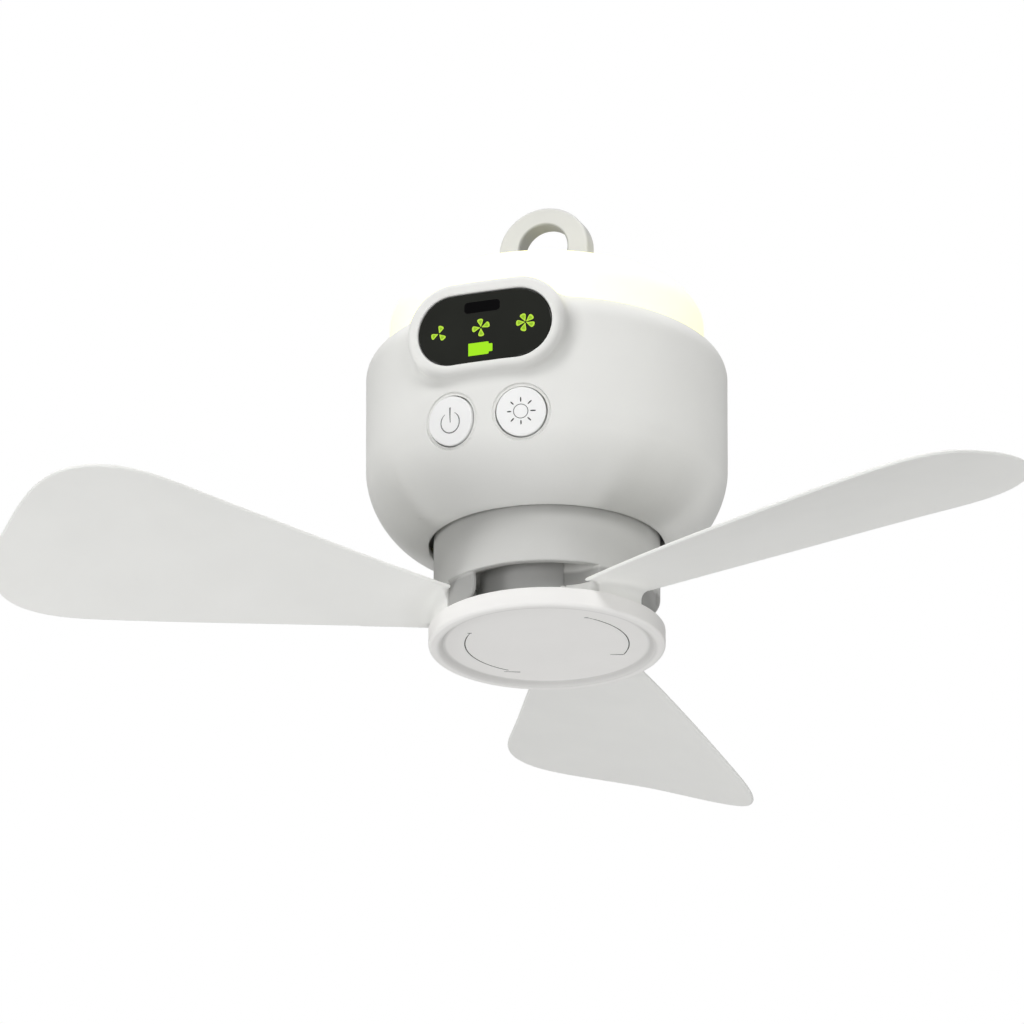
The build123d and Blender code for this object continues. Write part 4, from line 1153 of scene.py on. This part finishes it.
base = lambda k, j: j if k == 0 else (NV_ + j if k == RINGS else 2 * NV_ + (k - 1) * nb_ + j)
for k in range(RINGS):
    for j in range(nb_):
        l = (j + 1) % nb_
        q = [base(k, j), base(k, l), base(k + 1, l), base(k + 1, j)]
        p = V[q]
        if np.cross(p[1] - p[0], p[2] - p[0]) @ VN[q].sum(0) < 0:
            q = q[::-1]
        F.append(q)
sheet = (V, F, [tuple(VN[i]) for f in F for i in f])
N0, N1, H0, H1 = -16.5, 3.0, -18.8, 5.2


LOOP = [tuple(q) for q in line[line[:, 0] < 90].tolist()]


def root_sd(P):
    """Root block and the inner end of the leaf, blended underneath."""
    x, y, z = P.T
    r, side = np.hypot(x, y), np.maximum(N0 - y, y - N1)
    p, n = surf(x, y)
    d2 = np.maximum(poly_sd(x, y, LOOP), R_IN - r) + HALF
    q = np.abs((z - p[:, 2]) * n[:, 2])
    leaf = np.where(d2 > 0, np.hypot(d2, q), q) - HALF
    side = np.where(r > 29.05, smin(side, r - 29.05, 5.0), side)
    block = smax(np.maximum(side, z - slot_top(y)), r - 38.9, 0.6)
    f = smin(leaf, block, 4.5)
    f = np.maximum(f, -np.maximum(slot_top(y) + 0.02 - z, r - 39.4))
    head = np.maximum(np.maximum(H0 - y, y - H1), np.maximum(z + 133.4, np.maximum(16.0 - x, x - 20.0)))
    f = np.minimum(np.maximum(f, 18.0 - x), head)
    return np.maximum(np.maximum(f, -140.1 - z), x - X_JOIN)


root = contour(root_sd, (15.2, -32.0, -141.0), (58.8, 16.0, -127.5), 0.5)
root = (root[0], root[1].tolist(), [tuple(q) for q in root[2]])
whole = merge(sheet, root)
for i, az in enumerate(BLADE_AZ):
    V, F, LN = turned(whole, az)
    build("fan_blade_%d" % (i + 1), V, F, BLADE, "rotor", ["blade_%d" % (i + 1)], LN)

# ------------------------------------------------------------------ CAD nodes that stay as they are
MAT = {
    "blade_hub": HUB_WHITE_PAINTED_SHADE, "rotor_can": STEEL, "rotor_magnets": MAGNET, "rotor_screws": STEEL, "motor_shaft": STEEL, "shaft_circlip": STEEL,
    "stator_core": CORE, "motor_windings": COPPER, "bearing_upper": STEEL, "bearing_lower": STEEL, "motor_mount": NYLON,
    "motor_mount_screws": STEEL, "tray_screws": STEEL, "battery_tray": GREY, "battery_cover": GREY, "battery_cells": CELL, "cell_tabs": TIN,
    "battery_cover_screws": STEEL, "main_board": PCB, "main_board_screws": STEEL, "board_components": CHIP, "motor_lead": RED,
    "battery_leads": RED, "light_lead": RED, "display_ribbon": FLAT, "charging_socket": TIN, "display_light_block": GREY,
    "ir_receiver": CHIP, "display_board": PCB, "button_board": PCB, "tact_switches": CHIP, "button_board_screws": STEEL,
    "power_switch_plunger": GREY, "light_switch_plunger": GREY, "light_base": NYLON, "led_board": PCB_W, "led_chips": PHOS,
    "eye_screw": STEEL, "light_base_screws": STEEL,
}
HIDDEN = {"body_shell", "display_lens", "power_button", "light_button", "light_dome", "hanging_eye", "rotor_drum", "lock_cap", "blade_1", "blade_2", "blade_3"}
for name, ob in NODES.items():
    if name in HIDDEN:
        continue
    assert name in MAT, name
    if len(ob.data.materials):
        for i in range(len(ob.data.materials)):
            ob.data.materials[i] = MAT[name]
    for s in ob.material_slots:
        s.material = MAT[name]

# ------------------------------------------------------------------ camera, from below and a little to the right of the panel
D, E_DEG = 7.753, 21.51
TP, PSI = 0.0021637, -0.0016704
e = math.radians(E_DEG)
C = Vector((0, -math.cos(e), -math.sin(e))) * D
th = e + TP
f_ = Vector((math.sin(PSI) * math.cos(th), math.cos(PSI) * math.cos(th), math.sin(th)))
r_ = Vector((math.cos(PSI), -math.sin(PSI), 0))
u_ = r_.cross(f_)
turn = Matrix.Rotation(math.radians(19.8), 3, "Z")
C, f_, r_, u_ = turn @ C, turn @ f_, turn @ r_, turn @ u_
C = C + Vector((0, 0, -0.11506))
M4 = Matrix(((r_.x, u_.x, -f_.x, C.x), (r_.y, u_.y, -f_.y, C.y), (r_.z, u_.z, -f_.z, C.z), (0, 0, 0, 1)))
cd = bpy.data.cameras.new("camera")
cd.lens, cd.sensor_width = 22473 / 1024 * 36, 36.0
cd.clip_start, cd.clip_end = 0.5, 60.0
cam = bpy.data.objects.new("camera", cd)
cam.matrix_world = M4
bpy.context.scene.collection.objects.link(cam)
bpy.context.scene.camera = cam

# ------------------------------------------------------------------ studio: pale floor, white surround, soft lights
fm = bpy.data.materials.new("studio_floor")
fm.use_nodes = True
nt = fm.node_tree
nt.nodes.clear()
fo, fx, fd, fe, fl = [nt.nodes.new(k) for k in ("ShaderNodeOutputMaterial", "ShaderNodeMixShader", "ShaderNodeBsdfDiffuse", "ShaderNodeEmission", "ShaderNodeLightPath")]
fd.inputs["Color"].default_value = (0.90, 0.90, 0.90, 1)
fe.inputs["Color"].default_value = (1.0, 1.0, 1.0, 1)
nt.links.new(fl.outputs["Is Camera Ray"], fx.inputs[0])
nt.links.new(fd.outputs[0], fx.inputs[1])
nt.links.new(fe.outputs[0], fx.inputs[2])
nt.links.new(fx.outputs[0], fo.inputs[0])
me = bpy.data.meshes.new("floor")
me.from_pydata([(-40, -40, -3.3), (40, -40, -3.3), (40, 40, -3.3), (-40, 40, -3.3)], [], [(0, 1, 2, 3)])
me.materials.append(fm)
floor = bpy.data.objects.new("floor", me)
bpy.context.scene.collection.objects.link(floor)

SURROUND = 0.30     # how strongly the white surround lights the object; the camera sees it plain white
w = bpy.data.worlds.new("surround")
w.use_nodes = True
nt = w.node_tree
bg = nt.nodes["Background"]
bg.inputs[0].default_value = (1.0, 1.0, 1.0, 1)
wl, wm = nt.nodes.new("ShaderNodeLightPath"), nt.nodes.new("ShaderNodeMapRange")
wm.inputs["To Min"].default_value, wm.inputs["To Max"].default_value = SURROUND, 1.0
nt.links.new(wl.outputs["Is Camera Ray"], wm.inputs["Value"])
nt.links.new(wm.outputs[0], bg.inputs[1])
bpy.context.scene.world = w


def area_light(name, az, el, dist, size, power, color=(1, 1, 1)):
    """Soft box aimed at the object; az and el as the camera sees them (0,0 is from the camera)."""
    a = math.radians(289.8 + az)
    l = math.radians(-21.5 + el)
    p = Vector((math.cos(a) * math.cos(l), math.sin(a) * math.cos(l), math.sin(l))) * dist + Vector((0, 0, -0.09))
    ld = bpy.data.lights.new(name, "AREA")
    ld.shape, ld.size, ld.energy, ld.color = "DISK", size, power, color
    ob = bpy.data.objects.new(name, ld)
    ob.location = p
    ob.rotation_euler = (Vector((0, 0, -0.09)) - p).to_track_quat("-Z", "Y").to_euler()
    bpy.context.scene.collection.objects.link(ob)
    return ob


for i, (az, el, power) in enumerate([(-25, 70, 19), (-75, 10, 27), (-20, 12, 11.5), (0, -62, 17), (15, 50, 25), (45, 10, 6), (75, -30, 7), (75, 10, 8),
                                      (0, 105, 20), (-132, 75, 9), (135, 75, 9)]):
    area_light("soft_%d" % (i + 1), az, el, 3.0, 1.0, power)
bpy.context.scene.view_settings.view_transform = "Standard"
